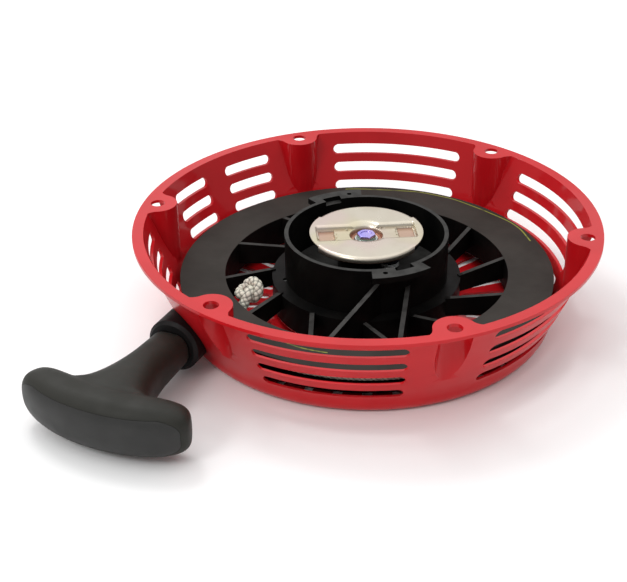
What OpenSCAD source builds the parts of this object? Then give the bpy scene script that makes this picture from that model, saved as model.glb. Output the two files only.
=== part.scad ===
// Recoil starter for a small air-cooled engine, engine side up.
// Origin: centre of the bolt circle on the mounting face, +Z towards the engine, +X through a bolt hole.

/* [Mounting flange] */
// Diameter of the bolt circle
bolt_circle_d = 212; // [190:1:260]
// Number of mounting bolts and of pressed bolt columns
bolt_count = 6; // [6:6:6]
// Diameter of each mounting hole
bolt_hole_d = 7; // [5:0.5:9]
// Width of the flange lip outside the bowl's mouth
flange_lip = 3.8; // [2:0.1:8]

/* [Housing] */
// Thickness of the pressed sheet
sheet_t = 1.6; // [1:0.1:2.2]
// Overall depth of the housing, from the mounting face to its flat bottom
housing_depth = 50; // [48:1:64]
// How far the bowl's outer wall stands outside the bolt circle at the mouth
mouth_over_bolts = 3.8; // [3:0.1:5]
// Inward slope of the wall, per millimetre of depth
wall_slope = 0.319; // [0.25:0.001:0.33]
// Curvature of the wall, per square millimetre of depth
wall_bow = 0.002; // [0:0.0001:0.003]
// Rounding where the wall turns into the bottom
bottom_round = 8; // [6:0.5:9]
// Outer radius of the pressed half-round column behind each bolt hole
column_r = 9.6; // [8.5:0.1:11]
// Blend radius where a column runs out into the wall
column_blend = 6; // [4:0.5:7]

/* [Air slots] */
// Height of each wall slot
slot_h = 5.1; // [4:0.1:5.5]
// Height from one row of slots to the next
slot_pitch = 9.4; // [8.8:0.1:10]
// Depth of the first row's centre line
slot_first = 8.8; // [7:0.1:10]
// Rows of slots
slot_rows = 4; // [2:1:4]
// Half the angle that a full slot covers
slot_half_angle = 19.3; // [14:0.1:20]
// Number of radial slots in the bottom
vent_count = 36; // [18:6:36]
// Width of a bottom slot
vent_w = 4.8; // [3:0.1:5]
// Radius where the bottom slots start
vent_inner_r = 50; // [48:1:60]

/* [Reel] */
// Outer radius of the reel's engine-side flange
reel_r = 92.2; // [88:0.1:93]
// Outer radius of the reel's lower flange
reel_low_r = 87; // [84:0.1:88]
// Radius of the rope groove's floor
groove_r = 73; // [71:0.1:76]
// Wall under the rope groove
groove_wall = 3; // [2:0.1:4]
// Depth of the reel's engine-side flange below the mounting face
reel_top = 26.5; // [25:0.1:30]
// Thickness of each reel flange
reel_flange_t = 2.5; // [2:0.1:3]
// Clear width of the rope groove
groove_w = 10.5; // [10.4:0.1:12]
// Number of fan blades between hub and ring
blade_count = 12; // [6:2:16]
// Thickness of a blade
blade_t = 2.2; // [1.6:0.1:3]
// Sweep of a blade from ring to hub, in degrees
blade_sweep = 13; // [0:1:20]
// Depth of the blades' lower edge below the mounting face
blade_bottom = 38; // [34:0.5:40]

/* [Drum] */
// Outer radius of the drum around the starter cup
drum_r = 40.2; // [39:0.1:42]
// Wall of the drum
drum_wall = 2; // [1.5:0.1:3]
// Depth of the drum's rim below the mounting face
drum_top = 6.3; // [5:0.1:8]
// Depth of the drum's floor below the mounting face
drum_floor = 28.5; // [27:0.1:30]
// Outer radius of the spring chamber below the drum
chamber_r = 46.8; // [46:0.1:50]
// Outer radius of the two lugs on the drum's rim
lug_r = 47; // [45:0.1:49]
// Thickness of the lugs
lug_t = 3; // [2:0.1:5]

/* [Spindle and bearing] */
// Radius of the centre post
post_r = 9; // [8:0.1:10]
// Running clearance between post and bush
bush_gap = 0.05; // [0.02:0.01:0.1]
// Wall of the reel's bush
bush_wall = 2; // [1.5:0.1:3]
// Radius of the post's upper spigot, which carries the guide plate
spigot_r = 4; // [3.5:0.1:5]
// Radius of the centre bolt's shank
bolt_shank_r = 2.5; // [2:0.1:3]
// Width across flats of the centre bolt's head
bolt_flats = 8; // [7:0.5:10]

/* [Guide plate and pawls] */
// Radius of the guide plate
plate_r = 28; // [26:0.1:29]
// Depth of the guide plate's top below the mounting face
plate_top = 6.2; // [5:0.1:8]
// Thickness of the guide plate's sheet
plate_t = 1.2; // [0.8:0.1:1.5]
// Height of the guide plate's turned-down lips
plate_lip = 3; // [2:0.1:3.4]
// Depth of the pressed cross channel
channel_depth = 1.6; // [1:0.1:1.8]
// Width of the pressed cross channel
channel_w = 10; // [8:0.1:11]
// Direction of the cross channel at rest, in degrees
channel_angle = 16; // [0:1:40]
// Depth of the dish around the centre bolt
dish_depth = 4.4; // [3:0.1:4.6]
// Radius from the axis to each pawl's pivot
pawl_pivot_r = 19; // [18:0.1:20]
// Angle from the channel back to each pawl's pivot, in degrees
pawl_lag = 60; // [54:1:64]
// Thickness of a pawl
pawl_t = 3.5; // [2.5:0.1:3.8]
// Radius of a pawl's pivot pin
pawl_pin_r = 2.5; // [2:0.1:3]
// Running clearance between pawl and pin
pawl_gap = 0.05; // [0.02:0.01:0.1]

/* [Recoil spring] */
// Height of the spring's strip
spring_h = 11.5; // [8:0.5:12]
// Thickness of the strip
spring_t = 0.7; // [0.4:0.1:0.8]
// Turns of the spring at rest
spring_turns = 7; // [4:1:8]

/* [Rope and outlet] */
// Diameter of the rope
rope_d = 5; // [4:0.1:5]
// Depth of the rope and the grip below the mounting face
rope_z = 34; // [33.5:0.1:35]
// Layers of rope on the reel
rope_layers = 2; // [1:1:2]
// Angle of the rope's outlet round the housing
outlet_angle = 220; // [214:1:224]
// Direction of the pull
pull_angle = 256; // [246:1:262]
// Outer radius of the outlet collar
collar_r = 13; // [11:0.1:14]
// Length of the outlet collar outside the wall
collar_l = 15; // [12:0.5:20]

/* [Grip] */
// Distance from the wall's outlet to the middle of the grip's bar
grip_reach = 75.5; // [60:0.5:90]
// Overall width of the grip's bar
grip_w = 83; // [74:1:100]
// Depth of the bar, along the rope
grip_depth = 22; // [20:0.5:28]
// Height of the bar
grip_h = 27; // [22:0.5:30]
// Radius that the bar's centre line is bent to
grip_bend_r = 90; // [60:1:120]
// Width of the grip's stem
stem_w = 18.5; // [15:0.5:20]
// Radius of the concave blends between stem and bar
stem_blend = 18; // [8:1:22]

/* [Hidden] */
$fn = 96;
eps = 0.01;
over = 1;                                   // how far cutters run past what they cut
body_gap = 0.3;                             // between pieces of different bodies
bolt_r = bolt_circle_d / 2;
mouth_r = bolt_r + mouth_over_bolts;
flange_r = mouth_r + flange_lip;
floor_z = -housing_depth + sheet_t;         // inner face of the bottom
wall_end = housing_depth - bottom_round;    // depth where the corner rounding starts

// Outer wall radius at a depth below the mounting face
function wall_r(depth) = mouth_r - wall_slope * depth - wall_bow * depth * depth;
// Point at a radius and an angle
function polar(r, a) = [r * cos(a), r * sin(a)];
// Depths of the wall's profile points, in the webs between the rows of slots
function wall_depths() = concat([0], [for (k = [0:slot_rows - 1]) slot_first + (k - 0.5) * slot_pitch], [wall_end]);

// ---------------------------------------------------------------- housing

bottom_r = wall_r(wall_end) - bottom_round * 0.62;   // where the flat bottom starts
vent_outer_r = bottom_r - 2.4;
flute_r = column_r - sheet_t;
outlet_z = -rope_z;

// Half section of the bowl's outside, or of its inside when the wall is taken off
module bowl_section(wall) {
    corner = bottom_round - wall;
    steps = 6;
    corner_r = wall_r(wall_end) - wall - bottom_r;
    polygon(concat(
        [[0, over], [wall_r(0) - wall, over]],
        [for (d = wall_depths()) [wall_r(d) - wall, -d]],
        [for (i = [1:steps]) let (a = 90 * i / steps)
            [bottom_r + corner_r * cos(a), -wall_end - corner * sin(a)]],
        [[0, -housing_depth + wall]]));
}

module bowl_solid(wall) {
    rotate_extrude($fn = 180) bowl_section(wall);
}

// Plan of one pressed column about its bolt hole, x pointing outwards
module column_plan(r) {
    wall_x = mouth_over_bolts - sheet_t;
    blend_x = wall_x - column_blend;
    blend_y = sqrt(pow(r + column_blend, 2) - blend_x * blend_x);
    foot = r / (r + column_blend);
    circle(r = r);
    difference() {
        polygon([[0, 0], [blend_x * foot, blend_y * foot], [blend_x, blend_y], [wall_x, blend_y],
            [wall_x + sheet_t, blend_y], [wall_x + sheet_t, -blend_y], [wall_x, -blend_y],
            [blend_x, -blend_y], [blend_x * foot, -blend_y * foot]]);
        for (s = [-1, 1]) translate([blend_x, s * blend_y]) circle(r = column_blend);
    }
}

module at_bolts() {
    for (i = [0:bolt_count - 1]) rotate(i * 360 / bolt_count) translate([bolt_r, 0, 0]) children();
}

// One slot pierced straight through the wall between two angles, with round ends
module wall_slot(from_angle, to_angle, depth) {
    half = (to_angle - from_angle) / 2;
    length = 2 * wall_r(depth) * sin(half) - slot_h;
    near = wall_r(depth) * cos(half) - 8;
    rotate((from_angle + to_angle) / 2) translate([near, 0, -depth]) rotate([90, 0, 90])
        linear_extrude(mouth_r + over - near) {
            translate([-length / 2, -slot_h / 2]) square([length, slot_h]);
            for (x = [-1, 1]) translate([x * length / 2, 0]) circle(d = slot_h, $fn = 32);
        }
}

// Angles that the slots of each panel cover; the rope outlet shortens one panel and a web splits another
function slot_spans() = concat(
    [for (a = [30, 90, 270, 330]) [a - slot_half_angle, a + slot_half_angle]],
    [[130.2, 145.8], [153.6, 168.5], [189.4, 205.5]]);

module bottom_vents() {
    length = vent_outer_r - vent_inner_r - vent_w;
    translate([0, 0, -housing_depth - over]) linear_extrude(sheet_t + 2 * over)
        for (i = [0:vent_count - 1]) rotate(i * 360 / vent_count) translate([vent_inner_r + vent_w / 2, 0]) {
            translate([0, -vent_w / 2]) square([length, vent_w]);
            for (x = [0, length]) translate([x, 0]) circle(d = vent_w, $fn = 32);
        }
}

module housing() {
    rivet_hole_r = post_foot_r;
    color([0.77, 0.1, 0.12]) difference() {
        union() {
            bowl_solid(0);
            rotate_extrude($fn = 180) translate([mouth_r - over, -sheet_t]) square([flange_lip + over, sheet_t]);
        }
        cylinder(r = flange_r + over, h = 2 * over);
        difference() {
            bowl_solid(sheet_t);
            at_bolts() translate([0, 0, -housing_depth]) linear_extrude(housing_depth) column_plan(column_r);
        }
        at_bolts() {
            translate([0, 0, -housing_depth + bottom_round]) {
                linear_extrude(housing_depth - bottom_round - sheet_t) {
                    circle(r = flute_r);
                    translate([0, -flute_r]) square([column_r + 2 * flange_lip, 2 * flute_r]);
                }
            }
            translate([0, 0, -sheet_t - over]) cylinder(d = bolt_hole_d, h = sheet_t + 2 * over);
        }
        for (span = slot_spans(), row = [0:slot_rows - 1])
            wall_slot(span[0], span[1], slot_first + row * slot_pitch);
        bottom_vents();
        translate([0, 0, -housing_depth - over]) cylinder(r = rivet_hole_r, h = sheet_t + 2 * over);
        at_outlet() translate([-12, 0, 0]) rotate([0, 90, 0]) cylinder(r = ferrule_r, h = 24, $fn = 64);
    }
}

// ---------------------------------------------------------------- spindle

post_foot_r = 5;
post_flange_r = 16;
post_flange_t = 2;
spigot_z = -10.5;                       // top of the spigot
washer_seat_z = spigot_z - 4.3;         // shoulder that carries the thrust washer
washer_seat_r = 6;
washer_t = 1;
friction_seat_z = washer_seat_z + washer_t;

module center_post() {
    slot_w = spring_t + 0.6;
    color([0.62, 0.64, 0.66]) difference() {
        union() {
            translate([0, 0, -housing_depth]) cylinder(r = post_foot_r, h = sheet_t + eps);
            translate([0, 0, floor_z]) cylinder(r = post_flange_r, h = post_flange_t);
            translate([0, 0, floor_z]) cylinder(r = post_r, h = washer_seat_z - floor_z);
            translate([0, 0, floor_z]) cylinder(r = washer_seat_r, h = friction_seat_z - floor_z);
            translate([0, 0, floor_z]) cylinder(r = spigot_r, h = spigot_z - floor_z);
        }
        translate([0, 0, spigot_z - 16]) cylinder(r = bolt_shank_r, h = 16 + over);
        translate([post_r - 3, -slot_w / 2, spring_z - body_gap])
            cube([3 + over, slot_w, spring_h + 2 * body_gap]);
    }
}

module thrust_washer() {
    color([0.72, 0.72, 0.7]) translate([0, 0, washer_seat_z]) difference() {
        cylinder(r = post_r + 4, h = washer_t);
        translate([0, 0, -over]) cylinder(r = washer_seat_r, h = washer_t + 2 * over);
    }
}

dish_floor_z = -plate_top - dish_depth;           // top of the dish's floor
friction_h = dish_floor_z - plate_t - body_gap - friction_seat_z;

// Two-coil spring that drags the guide plate against the post
module friction_spring() {
    wire = friction_h / 1.9;
    color([0.8, 0.8, 0.78]) translate([0, 0, friction_seat_z]) rotate_extrude() for (k = [0, 1])
        translate([spigot_r + 4 - 0.3 * k, wire * (0.5 + 0.9 * k)]) circle(d = wire, $fn = 24);
}

module bolt_washer() {
    color([0.75, 0.76, 0.8]) translate([0, 0, spigot_z]) difference() {
        cylinder(r = spigot_r + 1.6, h = 0.6);
        translate([0, 0, -over]) cylinder(r = bolt_shank_r, h = 3);
    }
}

module center_bolt() {
    head_z = spigot_z + 0.6;
    color([0.45, 0.45, 0.75]) difference() {
        union() {
            translate([0, 0, head_z - 15]) cylinder(r = bolt_shank_r, h = 15 + eps);
            translate([0, 0, head_z]) cylinder(r = spigot_r + 1, h = 0.5);
            translate([0, 0, head_z]) intersection() {
                cylinder(d = bolt_flats / cos(30), h = 2.4, $fn = 6);
                cylinder(r1 = bolt_flats / 2 + 2.4, r2 = bolt_flats / 2, h = 2.6);
            }
        }
        translate([0, 0, head_z + 2]) cylinder(r = bolt_flats / 2 - 1.2, h = over);
    }
}

// ---------------------------------------------------------------- reel

ring_inner_r = groove_r - groove_wall;
reel_low_top = reel_top + reel_flange_t + groove_w;   // depth of the lower flange's upper face
reel_bottom = reel_low_top + reel_flange_t;
chamber_roof = drum_floor + 3;                        // depth of the spring chamber's roof
hub_bottom = 44.6;                                    // depth of the hub's lower face
hub_r = post_r + bush_gap + bush_wall;                // seat of the bush
boss_top = -washer_seat_z + body_gap;                 // depth of the hub boss's top
boss_r = hub_r + 3;
spring_z = -hub_bottom + body_gap;                    // lower edge of the spring's strip
spring_outer_r = chamber_r - 3;
stud_angle = 200;
lug_angles = [-59, 121];                              // middle of each lug
lug_half = 18;
knot_r = 64;
knot_angle = -143;
pivot_z = -14.1;                                      // top of the pawls' bosses

function pawl_angle(i) = channel_angle - pawl_lag + 180 * i;

// A flat-sided rib between two points in plan, with its top edge sloping from z1 to z2
module sloped_rib(p1, z1, p2, z2, bottom) {
    run = norm(p2 - p1);
    translate([p1[0], p1[1], 0]) rotate(atan2(p2[1] - p1[1], p2[0] - p1[0]))
        translate([0, blade_t / 2, 0]) rotate([90, 0, 0]) linear_extrude(blade_t)
            polygon([[0, -bottom], [0, z1], [run, z2], [run, -bottom]]);
}

module fan_blades() {
    for (i = [0:blade_count - 1]) let (a = 18.7 + i * 360 / blade_count)
        sloped_rib(polar(ring_inner_r + 1, a), -reel_top - eps, polar(chamber_r - 1, a - blade_sweep),
            -drum_floor - 0.4, blade_bottom);
}

// Two taller ribs carry each lug
module lug_ribs() {
    for (i = [0, 1], rib = [[-68.2, -50.2, 16.6], [-94.8, -71.2, 12.6]]) let (turn = 180 * i)
        sloped_rib(polar(ring_inner_r + 1, rib[0] + turn), -reel_top + 0.2,
            polar(drum_r - 1, rib[1] + turn), -rib[2], blade_bottom - 1.5);
}

module lug(a) {
    rotate(a) translate([0, 0, -drum_top - lug_t]) {
        rotate(-lug_half) rotate_extrude(angle = 2 * lug_half)
            translate([drum_r - drum_wall / 2, 0]) square([lug_r - drum_r + drum_wall / 2, lug_t]);
    }
}

module lug_cuts(a) {
    screw_angle = a - 9.5;
    rotate(screw_angle) translate([42.5, 0, -drum_top - lug_t - over]) cylinder(r = 1.2, h = lug_t + 2 * over, $fn = 32);
    rotate(a - 2) rotate_extrude(angle = 13) translate([drum_r - drum_wall - over, -drum_top - lug_t * 0.8])
        square([4.6, lug_t + over]);
}

module reel() {
    color([0.16, 0.16, 0.155]) difference() {
        union() {
            rotate_extrude($fn = 180) polygon([
                [ring_inner_r, -reel_top], [reel_r, -reel_top], [reel_r, -reel_top - reel_flange_t],
                [groove_r, -reel_top - reel_flange_t], [groove_r, -reel_low_top],
                [reel_low_r, -reel_low_top], [reel_low_r, -reel_bottom], [ring_inner_r, -reel_bottom]]);
            rotate_extrude($fn = 144) polygon([
                [hub_r, -boss_top], [boss_r, -boss_top], [boss_r, -drum_floor],
                [drum_r - drum_wall, -drum_floor], [drum_r - drum_wall, -drum_top], [drum_r, -drum_top],
                [drum_r, -drum_floor - 1], [chamber_r, -drum_floor - 1], [chamber_r, -hub_bottom],
                [chamber_r - 2, -hub_bottom], [chamber_r - 2, -chamber_roof], [hub_r, -chamber_roof]]);
            fan_blades();
            lug_ribs();
            for (a = lug_angles) lug(a);
            for (i = [0, 1]) translate(concat(polar(pawl_pivot_r, pawl_angle(i)), -drum_floor - 1))
                cylinder(r = pawl_pin_r + 1.2, h = drum_floor + 1 + pivot_z, $fn = 48);
            for (i = [0:2]) translate(concat(polar(chamber_r - 3.4, 60 + 120 * i), -hub_bottom))
                cylinder(r = 3.2, h = hub_bottom - chamber_roof + eps, $fn = 48);
        }
        for (a = lug_angles) lug_cuts(a);
        for (i = [0, 1]) translate(concat(polar(pawl_pivot_r, pawl_angle(i)), pivot_z - 10))
            cylinder(r = pawl_pin_r, h = 10 + over, $fn = 48);
        for (i = [0:2]) translate(concat(polar(chamber_r - 3.4, 60 + 120 * i), -hub_bottom - over))
            cylinder(r = 1.5, h = 8 + over, $fn = 32);
        translate(concat(polar(spring_outer_r - 3.5, stud_angle), -hub_bottom - over))
            cylinder(r = 1.5, h = hub_bottom - chamber_roof + 3, $fn = 32);
        // the hole that the rope's end passes through, from the groove to its knot
        rotate(knot_angle) translate([ring_inner_r - 4, 0, outlet_z]) rotate([0, 90, 0])
            cylinder(r = rope_d / 2 + 0.3, h = groove_wall + 8, $fn = 48);
    }
}

module reel_bushing() {
    color([0.72, 0.55, 0.3]) translate([0, 0, -chamber_roof]) difference() {
        cylinder(r = hub_r, h = chamber_roof - boss_top);
        translate([0, 0, -over]) cylinder(r = post_r + bush_gap, h = chamber_roof + over);
    }
}

cover_t = 1;

module spring_cover() {
    color([0.7, 0.71, 0.72]) translate([0, 0, -hub_bottom - cover_t]) difference() {
        cylinder(r = chamber_r - 0.4, h = cover_t, $fn = 144);
        translate([0, 0, -over]) cylinder(r = post_r + 3, h = cover_t + 2 * over);
        for (i = [0:2]) translate(concat(polar(chamber_r - 3.4, 60 + 120 * i), -over))
            cylinder(r = 1.5, h = cover_t + 2 * over, $fn = 32);
        translate(concat(polar(spring_outer_r - 3.5, stud_angle), -over)) cylinder(r = 1.5, h = cover_t + 2 * over, $fn = 32);
    }
}

module cover_screws() {
    color([0.5, 0.5, 0.52]) for (i = [0:2]) translate(concat(polar(chamber_r - 3.4, 60 + 120 * i), -hub_bottom - cover_t)) {
        cylinder(r = 1.5, h = 8, $fn = 32);
        translate([0, 0, -1.5]) difference() {
            cylinder(r = 2.9, h = 1.5, $fn = 48);
            translate([0, 0, -over]) cylinder(r = 1.2, h = 1 + over, $fn = 6);
        }
    }
}

// Stud that the recoil spring's outer eye is hooked on
module spring_stud() {
    color([0.55, 0.56, 0.58]) translate(concat(polar(spring_outer_r - 3.5, stud_angle), -hub_bottom - cover_t))
        cylinder(r = 1.5, h = hub_bottom - chamber_roof + cover_t + 1, $fn = 32);
}

// Strip coiled from the post's slot to the stud, closer together towards the outside
module recoil_spring() {
    steps = 28;
    end_r = spring_outer_r - 6.2;
    start_r = post_r + 1.2;
    last = spring_turns * steps;
    turn_angle = 360 / steps;
    function coil_r(i) = start_r + (end_r - start_r) * pow(i / last, 0.8);
    module arc_strip(from, to) {
        polygon(concat(
            [for (i = [from:to]) polar(coil_r(i) + spring_t / 2, stud_angle + i * turn_angle)],
            [for (i = [to:-1:from]) polar(coil_r(i) - spring_t / 2, stud_angle + i * turn_angle)]));
    }
    color([0.38, 0.42, 0.5]) translate([0, 0, spring_z]) linear_extrude(spring_h) arc_strip(0, last);
}

// ---------------------------------------------------------------- guide plate

window_in = 14.8;
window_out = 21.2;
window_w = 7.4;
lip_spans = [[-130, -31], [50, 149]];

module plate_disc(r, top, bottom) {
    translate([0, 0, bottom]) cylinder(r = r, h = top - bottom, $fn = 144);
}

module channel_plan(w) {
    rotate(channel_angle) {
        square([2 * 24, w], center = true);
    }
}

module guide_plate() {
    top = -plate_top;
    dish_r = 9.2;
    wall = plate_t;
    color([0.86, 0.84, 0.8]) difference() {
        union() {
            plate_disc(plate_r - 0.8, top, top - plate_t);
            // pressed channel and dish, seen from below
            translate([0, 0, top - channel_depth - plate_t]) linear_extrude(channel_depth + plate_t)
                intersection() {
                    channel_plan(channel_w + 2 * wall);
                    circle(r = plate_r - 1.5);
                }
            translate([0, 0, dish_floor_z - plate_t])
                cylinder(r1 = dish_r - 1.2, r2 = dish_r + wall, h = top - dish_floor_z + plate_t);
            for (span = lip_spans) rotate(span[0]) rotate_extrude(angle = span[1] - span[0], $fn = 144)
                polygon([[plate_r - 2, top - plate_t], [plate_r - 2, top], [plate_r - 0.7, top],
                    [plate_r - 0.2, top - 0.3], [plate_r, top - 0.9], [plate_r, top - plate_lip],
                    [plate_r - plate_t, top - plate_lip], [plate_r - plate_t, top - plate_t]]);
            // tabs bent down at both ends of each window
            rotate(channel_angle) for (s = [-1, 1], x = [window_in - 0.8, window_out])
                translate([s * (x + 0.4) - 0.4, -window_w / 2, -9.8]) cube([0.8, window_w, 9.8 - plate_top - channel_depth - 0.2]);
        }
        translate([0, 0, top - channel_depth]) linear_extrude(channel_depth + over)
            intersection() {
                channel_plan(channel_w);
                circle(r = plate_r - 2.7);
            }
        translate([0, 0, dish_floor_z]) cylinder(r1 = dish_r - 2, r2 = dish_r + 0.25, h = top - dish_floor_z + over);
        translate([0, 0, dish_floor_z - plate_t - over]) cylinder(r = spigot_r + bush_gap, h = 10);
        rotate(channel_angle) for (s = [-1, 1])
            translate([s * (window_in + window_out) / 2 - (window_out - window_in) / 2, -window_w / 2, -12])
                cube([window_out - window_in, window_w, 8]);
    }
}

// ---------------------------------------------------------------- pawls

pawl_top = -10.05;

module pawl(i) {
    nose = polar(25.2, 12);
    pivot = polar(pawl_pivot_r, -pawl_lag + channel_angle);
    eye_r = pawl_pin_r + 2.2;
    along = atan2(nose[1] - pivot[1], nose[0] - pivot[0]);
    reach = norm(nose - pivot);
    color([0.6, 0.6, 0.58]) rotate(180 * i) translate([0, 0, pawl_top - pawl_t]) difference() {
        linear_extrude(pawl_t) translate(pivot) rotate(along) {
            circle(r = eye_r);
            polygon([[0, -eye_r], [reach - 4, -3.6], [reach - 0.6, -1.6], [reach, 1.0], [reach - 2.6, 3.2], [0, eye_r]]);
        }
        translate([pivot[0], pivot[1], -over]) cylinder(r = pawl_pin_r + pawl_gap, h = pawl_t + 2 * over);
    }
}

module pawl_a() { pawl(0); }

module pawl_b() { pawl(1); }

module pawl_pins() {
    color([0.7, 0.7, 0.72]) for (i = [0, 1]) translate(concat(polar(pawl_pivot_r, pawl_angle(i)), pivot_z - 10)) {
        cylinder(r = pawl_pin_r, h = 10 + pawl_top - pivot_z + 0.8, $fn = 48);
        translate([0, 0, 10 + pawl_top - pivot_z + 0.15]) cylinder(r = pawl_pin_r + 0.9, h = 0.7, $fn = 48);
    }
}

// Small torsion spring around a pawl's boss, with a leg against the hub
module pawl_spring(i) {
    wire = 0.8;
    coil_r = pawl_pin_r + 1.2 + wire / 2 + 0.1;
    color([0.78, 0.79, 0.8]) translate(concat(polar(pawl_pivot_r, pawl_angle(i)), pivot_z - 0.2)) {
        rotate_extrude($fn = 48) for (k = [0:2]) translate([coil_r, -wire * (0.5 + 0.88 * k)])
            circle(d = wire, $fn = 24);
        rotate(pawl_angle(i) + 180) translate([0, 0.2 - coil_r, -wire / 2]) rotate([0, 90, 0])
            cylinder(d = wire * 0.7, h = 4.8, $fn = 24);
    }
}

module pawl_spring_a() { pawl_spring(0); }

module pawl_spring_b() { pawl_spring(1); }

// ---------------------------------------------------------------- rope

coil_outer_r = groove_r + rope_layers * rope_d;
lay_r = coil_outer_r - rope_d / 2;               // centre line of the outermost layer
ferrule_bore = rope_d / 2 + 0.8;
ferrule_r = ferrule_bore + 1.1;
ferrule_back = 5;                                // how far the ferrule reaches inside the wall
outlet = polar(wall_r(rope_z), outlet_angle);
bend = outlet - (ferrule_back + 2.5) * polar(1, pull_angle);   // where the rope turns into the pull
inner_dir = atan2(bend[1], bend[0]) + asin(lay_r / norm(bend)) + 360;
run = sqrt(bend * bend - lay_r * lay_r);         // from the reel's tangent point to the bend
// where the straight run is clear of the wound rope
lead_start = sqrt(pow(coil_outer_r + body_gap, 2) - pow(lay_r - rope_d / 2, 2)) + 0.5;

// Local frame at the outlet: x along the pull, z up
module at_outlet() {
    translate([outlet[0], outlet[1], outlet_z]) rotate(pull_angle) children();
}

module rope_coil() {
    half = groove_w / 2 - 0.25;
    color([0.85, 0.83, 0.74]) translate([0, 0, -reel_top - reel_flange_t - groove_w / 2])
        rotate_extrude($fn = 144) difference() {
            translate([groove_r + 0.05, -half]) square([coil_outer_r - groove_r - 0.05, 2 * half]);
            for (k = [-1, 1]) translate([coil_outer_r, k * half]) circle(r = 1.4, $fn = 24);
            translate([coil_outer_r + 0.3, 0]) circle(r = 1.2, $fn = 24);
        }
}

module anchor_knot() {
    end = ring_inner_r - 0.1;
    color([0.88, 0.87, 0.8]) rotate(knot_angle) translate([0, 0, outlet_z]) {
        translate([end - 5.5, 0, 1.5]) sphere(r = 5.4, $fn = 48);
        translate([end - 8, -4, 6]) sphere(r = 4.9, $fn = 48);
        translate([end - 4, 0, 0]) rotate([0, 90, 0]) cylinder(r = rope_d / 2, h = groove_wall + 4.05, $fn = 48);
    }
}

// Level tube through points, with the heading of its cross-section at each of them
module level_tube(points, headings, d) {
    sides = 16;
    rings = len(points);
    polyhedron(
        points = [for (i = [0:rings - 1], k = [0:sides - 1]) let (a = 360 * k / sides)
            [points[i][0] - sin(headings[i]) * cos(a) * d / 2, points[i][1] + cos(headings[i]) * cos(a) * d / 2,
             outlet_z + sin(a) * d / 2]],
        faces = concat(
            [[for (k = [0:sides - 1]) k]],
            [[for (k = [sides - 1:-1:0]) (rings - 1) * sides + k]],
            [for (i = [0:rings - 2], k = [0:sides - 1]) let (n = (k + 1) % sides)
                [i * sides + k, (i + 1) * sides + k, (i + 1) * sides + n, i * sides + n]]));
}

// Run from the winding, round the bend before the ferrule, then along the pull into the grip
module rope_lead() {
    turn = inner_dir - pull_angle;
    bend_r = 8;
    tangent_l = bend_r * tan(turn / 2);
    centre = bend - tangent_l * polar(1, inner_dir) + bend_r * polar(1, inner_dir - 90);
    steps = 6;
    headings = [for (k = [0:steps]) inner_dir - turn * k / steps];
    arc = [for (a = headings) centre + bend_r * polar(1, a + 90)];
    start = bend - (run - lead_start) * polar(1, inner_dir);
    end = outlet + (grip_reach - 4) * polar(1, pull_angle);
    color([0.88, 0.87, 0.8])
        level_tube(concat([start], arc, [end]), concat([inner_dir], headings, [pull_angle]), rope_d);
}

module rope_ferrule() {
    color([0.8, 0.78, 0.72]) at_outlet() difference() {
        union() {
            translate([-ferrule_back, 0, 0]) rotate([0, 90, 0])
                cylinder(r = ferrule_r, h = ferrule_back + collar_l - 1, $fn = 64);
            translate([collar_l - 2, 0, 0]) rotate([0, 90, 0]) cylinder(r = ferrule_r + 2.5, h = 1, $fn = 64);
        }
        translate([-ferrule_back - 3, 0, 0]) rotate([0, 90, 0]) cylinder(r = ferrule_bore, h = collar_l + 12, $fn = 64);
        translate([-ferrule_back - over, 0, 0]) rotate([0, 90, 0])
            cylinder(r1 = ferrule_bore + 0.8, r2 = ferrule_bore, h = 1.5, $fn = 64);
    }
}

module outlet_collar() {
    color([0.1, 0.1, 0.1]) difference() {
        at_outlet() difference() {
            union() {
                translate([-12, 0, 0]) rotate([0, 90, 0]) cylinder(r = collar_r, h = collar_l + 10.5, $fn = 96);
                translate([collar_l - 1.5, 0, 0]) rotate([0, 90, 0]) cylinder(r1 = collar_r, r2 = collar_r - 1.5, h = 1.5, $fn = 96);
            }
            translate([-14, 0, 0]) rotate([0, 90, 0]) cylinder(r = ferrule_r, h = collar_l + 20, $fn = 64);
            translate([collar_l - 2, 0, 0]) rotate([0, 90, 0]) cylinder(r = ferrule_r + 2.5, h = 5, $fn = 64);
        }
        bowl_solid(-0.02);
    }
}

// ---------------------------------------------------------------- grip

grip_half_angle = asin((grip_w - grip_depth) / 2 / grip_bend_r);
stem_start = collar_l + body_gap;
cap_t = 3;
cap_h = grip_h - 9;
grip_round = 7;                                  // rounding of the bar's section

// Section of the bar: a rectangle with round corners, centred
module bar_section(depth, height, round) {
    square([depth, height - 2 * round], center = true);
    square([depth - 2 * round, height], center = true);
    for (x = [-1, 1], y = [-1, 1]) translate([x * (depth / 2 - round), y * (height / 2 - round)])
        circle(r = round, $fn = 64);
}

module bar_arc(half_angle) {
    translate([grip_reach - grip_bend_r, 0, 0]) rotate(-half_angle)
        rotate_extrude(angle = 2 * half_angle, $fn = 180) translate([grip_bend_r, 0]) children();
}

module bar_ends() {
    for (s = [-1, 1]) translate([grip_reach - grip_bend_r, 0, 0]) rotate(s * grip_half_angle)
        translate([grip_bend_r, 0, 0]) rotate_extrude() intersection() {
            bar_section(grip_depth, grip_h, grip_round);
            translate([0, -grip_h]) square([grip_depth, 2 * grip_h]);
        }
}

// Plan of the stem and its concave blends into the bar
module stem_plan() {
    foot = grip_reach - grip_depth / 2 + 1;
    translate([stem_start, -stem_w / 2]) square([grip_reach - stem_start, stem_w]);
    difference() {
        translate([foot - stem_blend - 1, -stem_w / 2 - stem_blend]) square([stem_blend + 2, stem_w + 2 * stem_blend]);
        for (s = [-1, 1]) translate([foot - stem_blend - 1, s * (stem_w / 2 + stem_blend)]) circle(r = stem_blend);
    }
}

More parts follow.
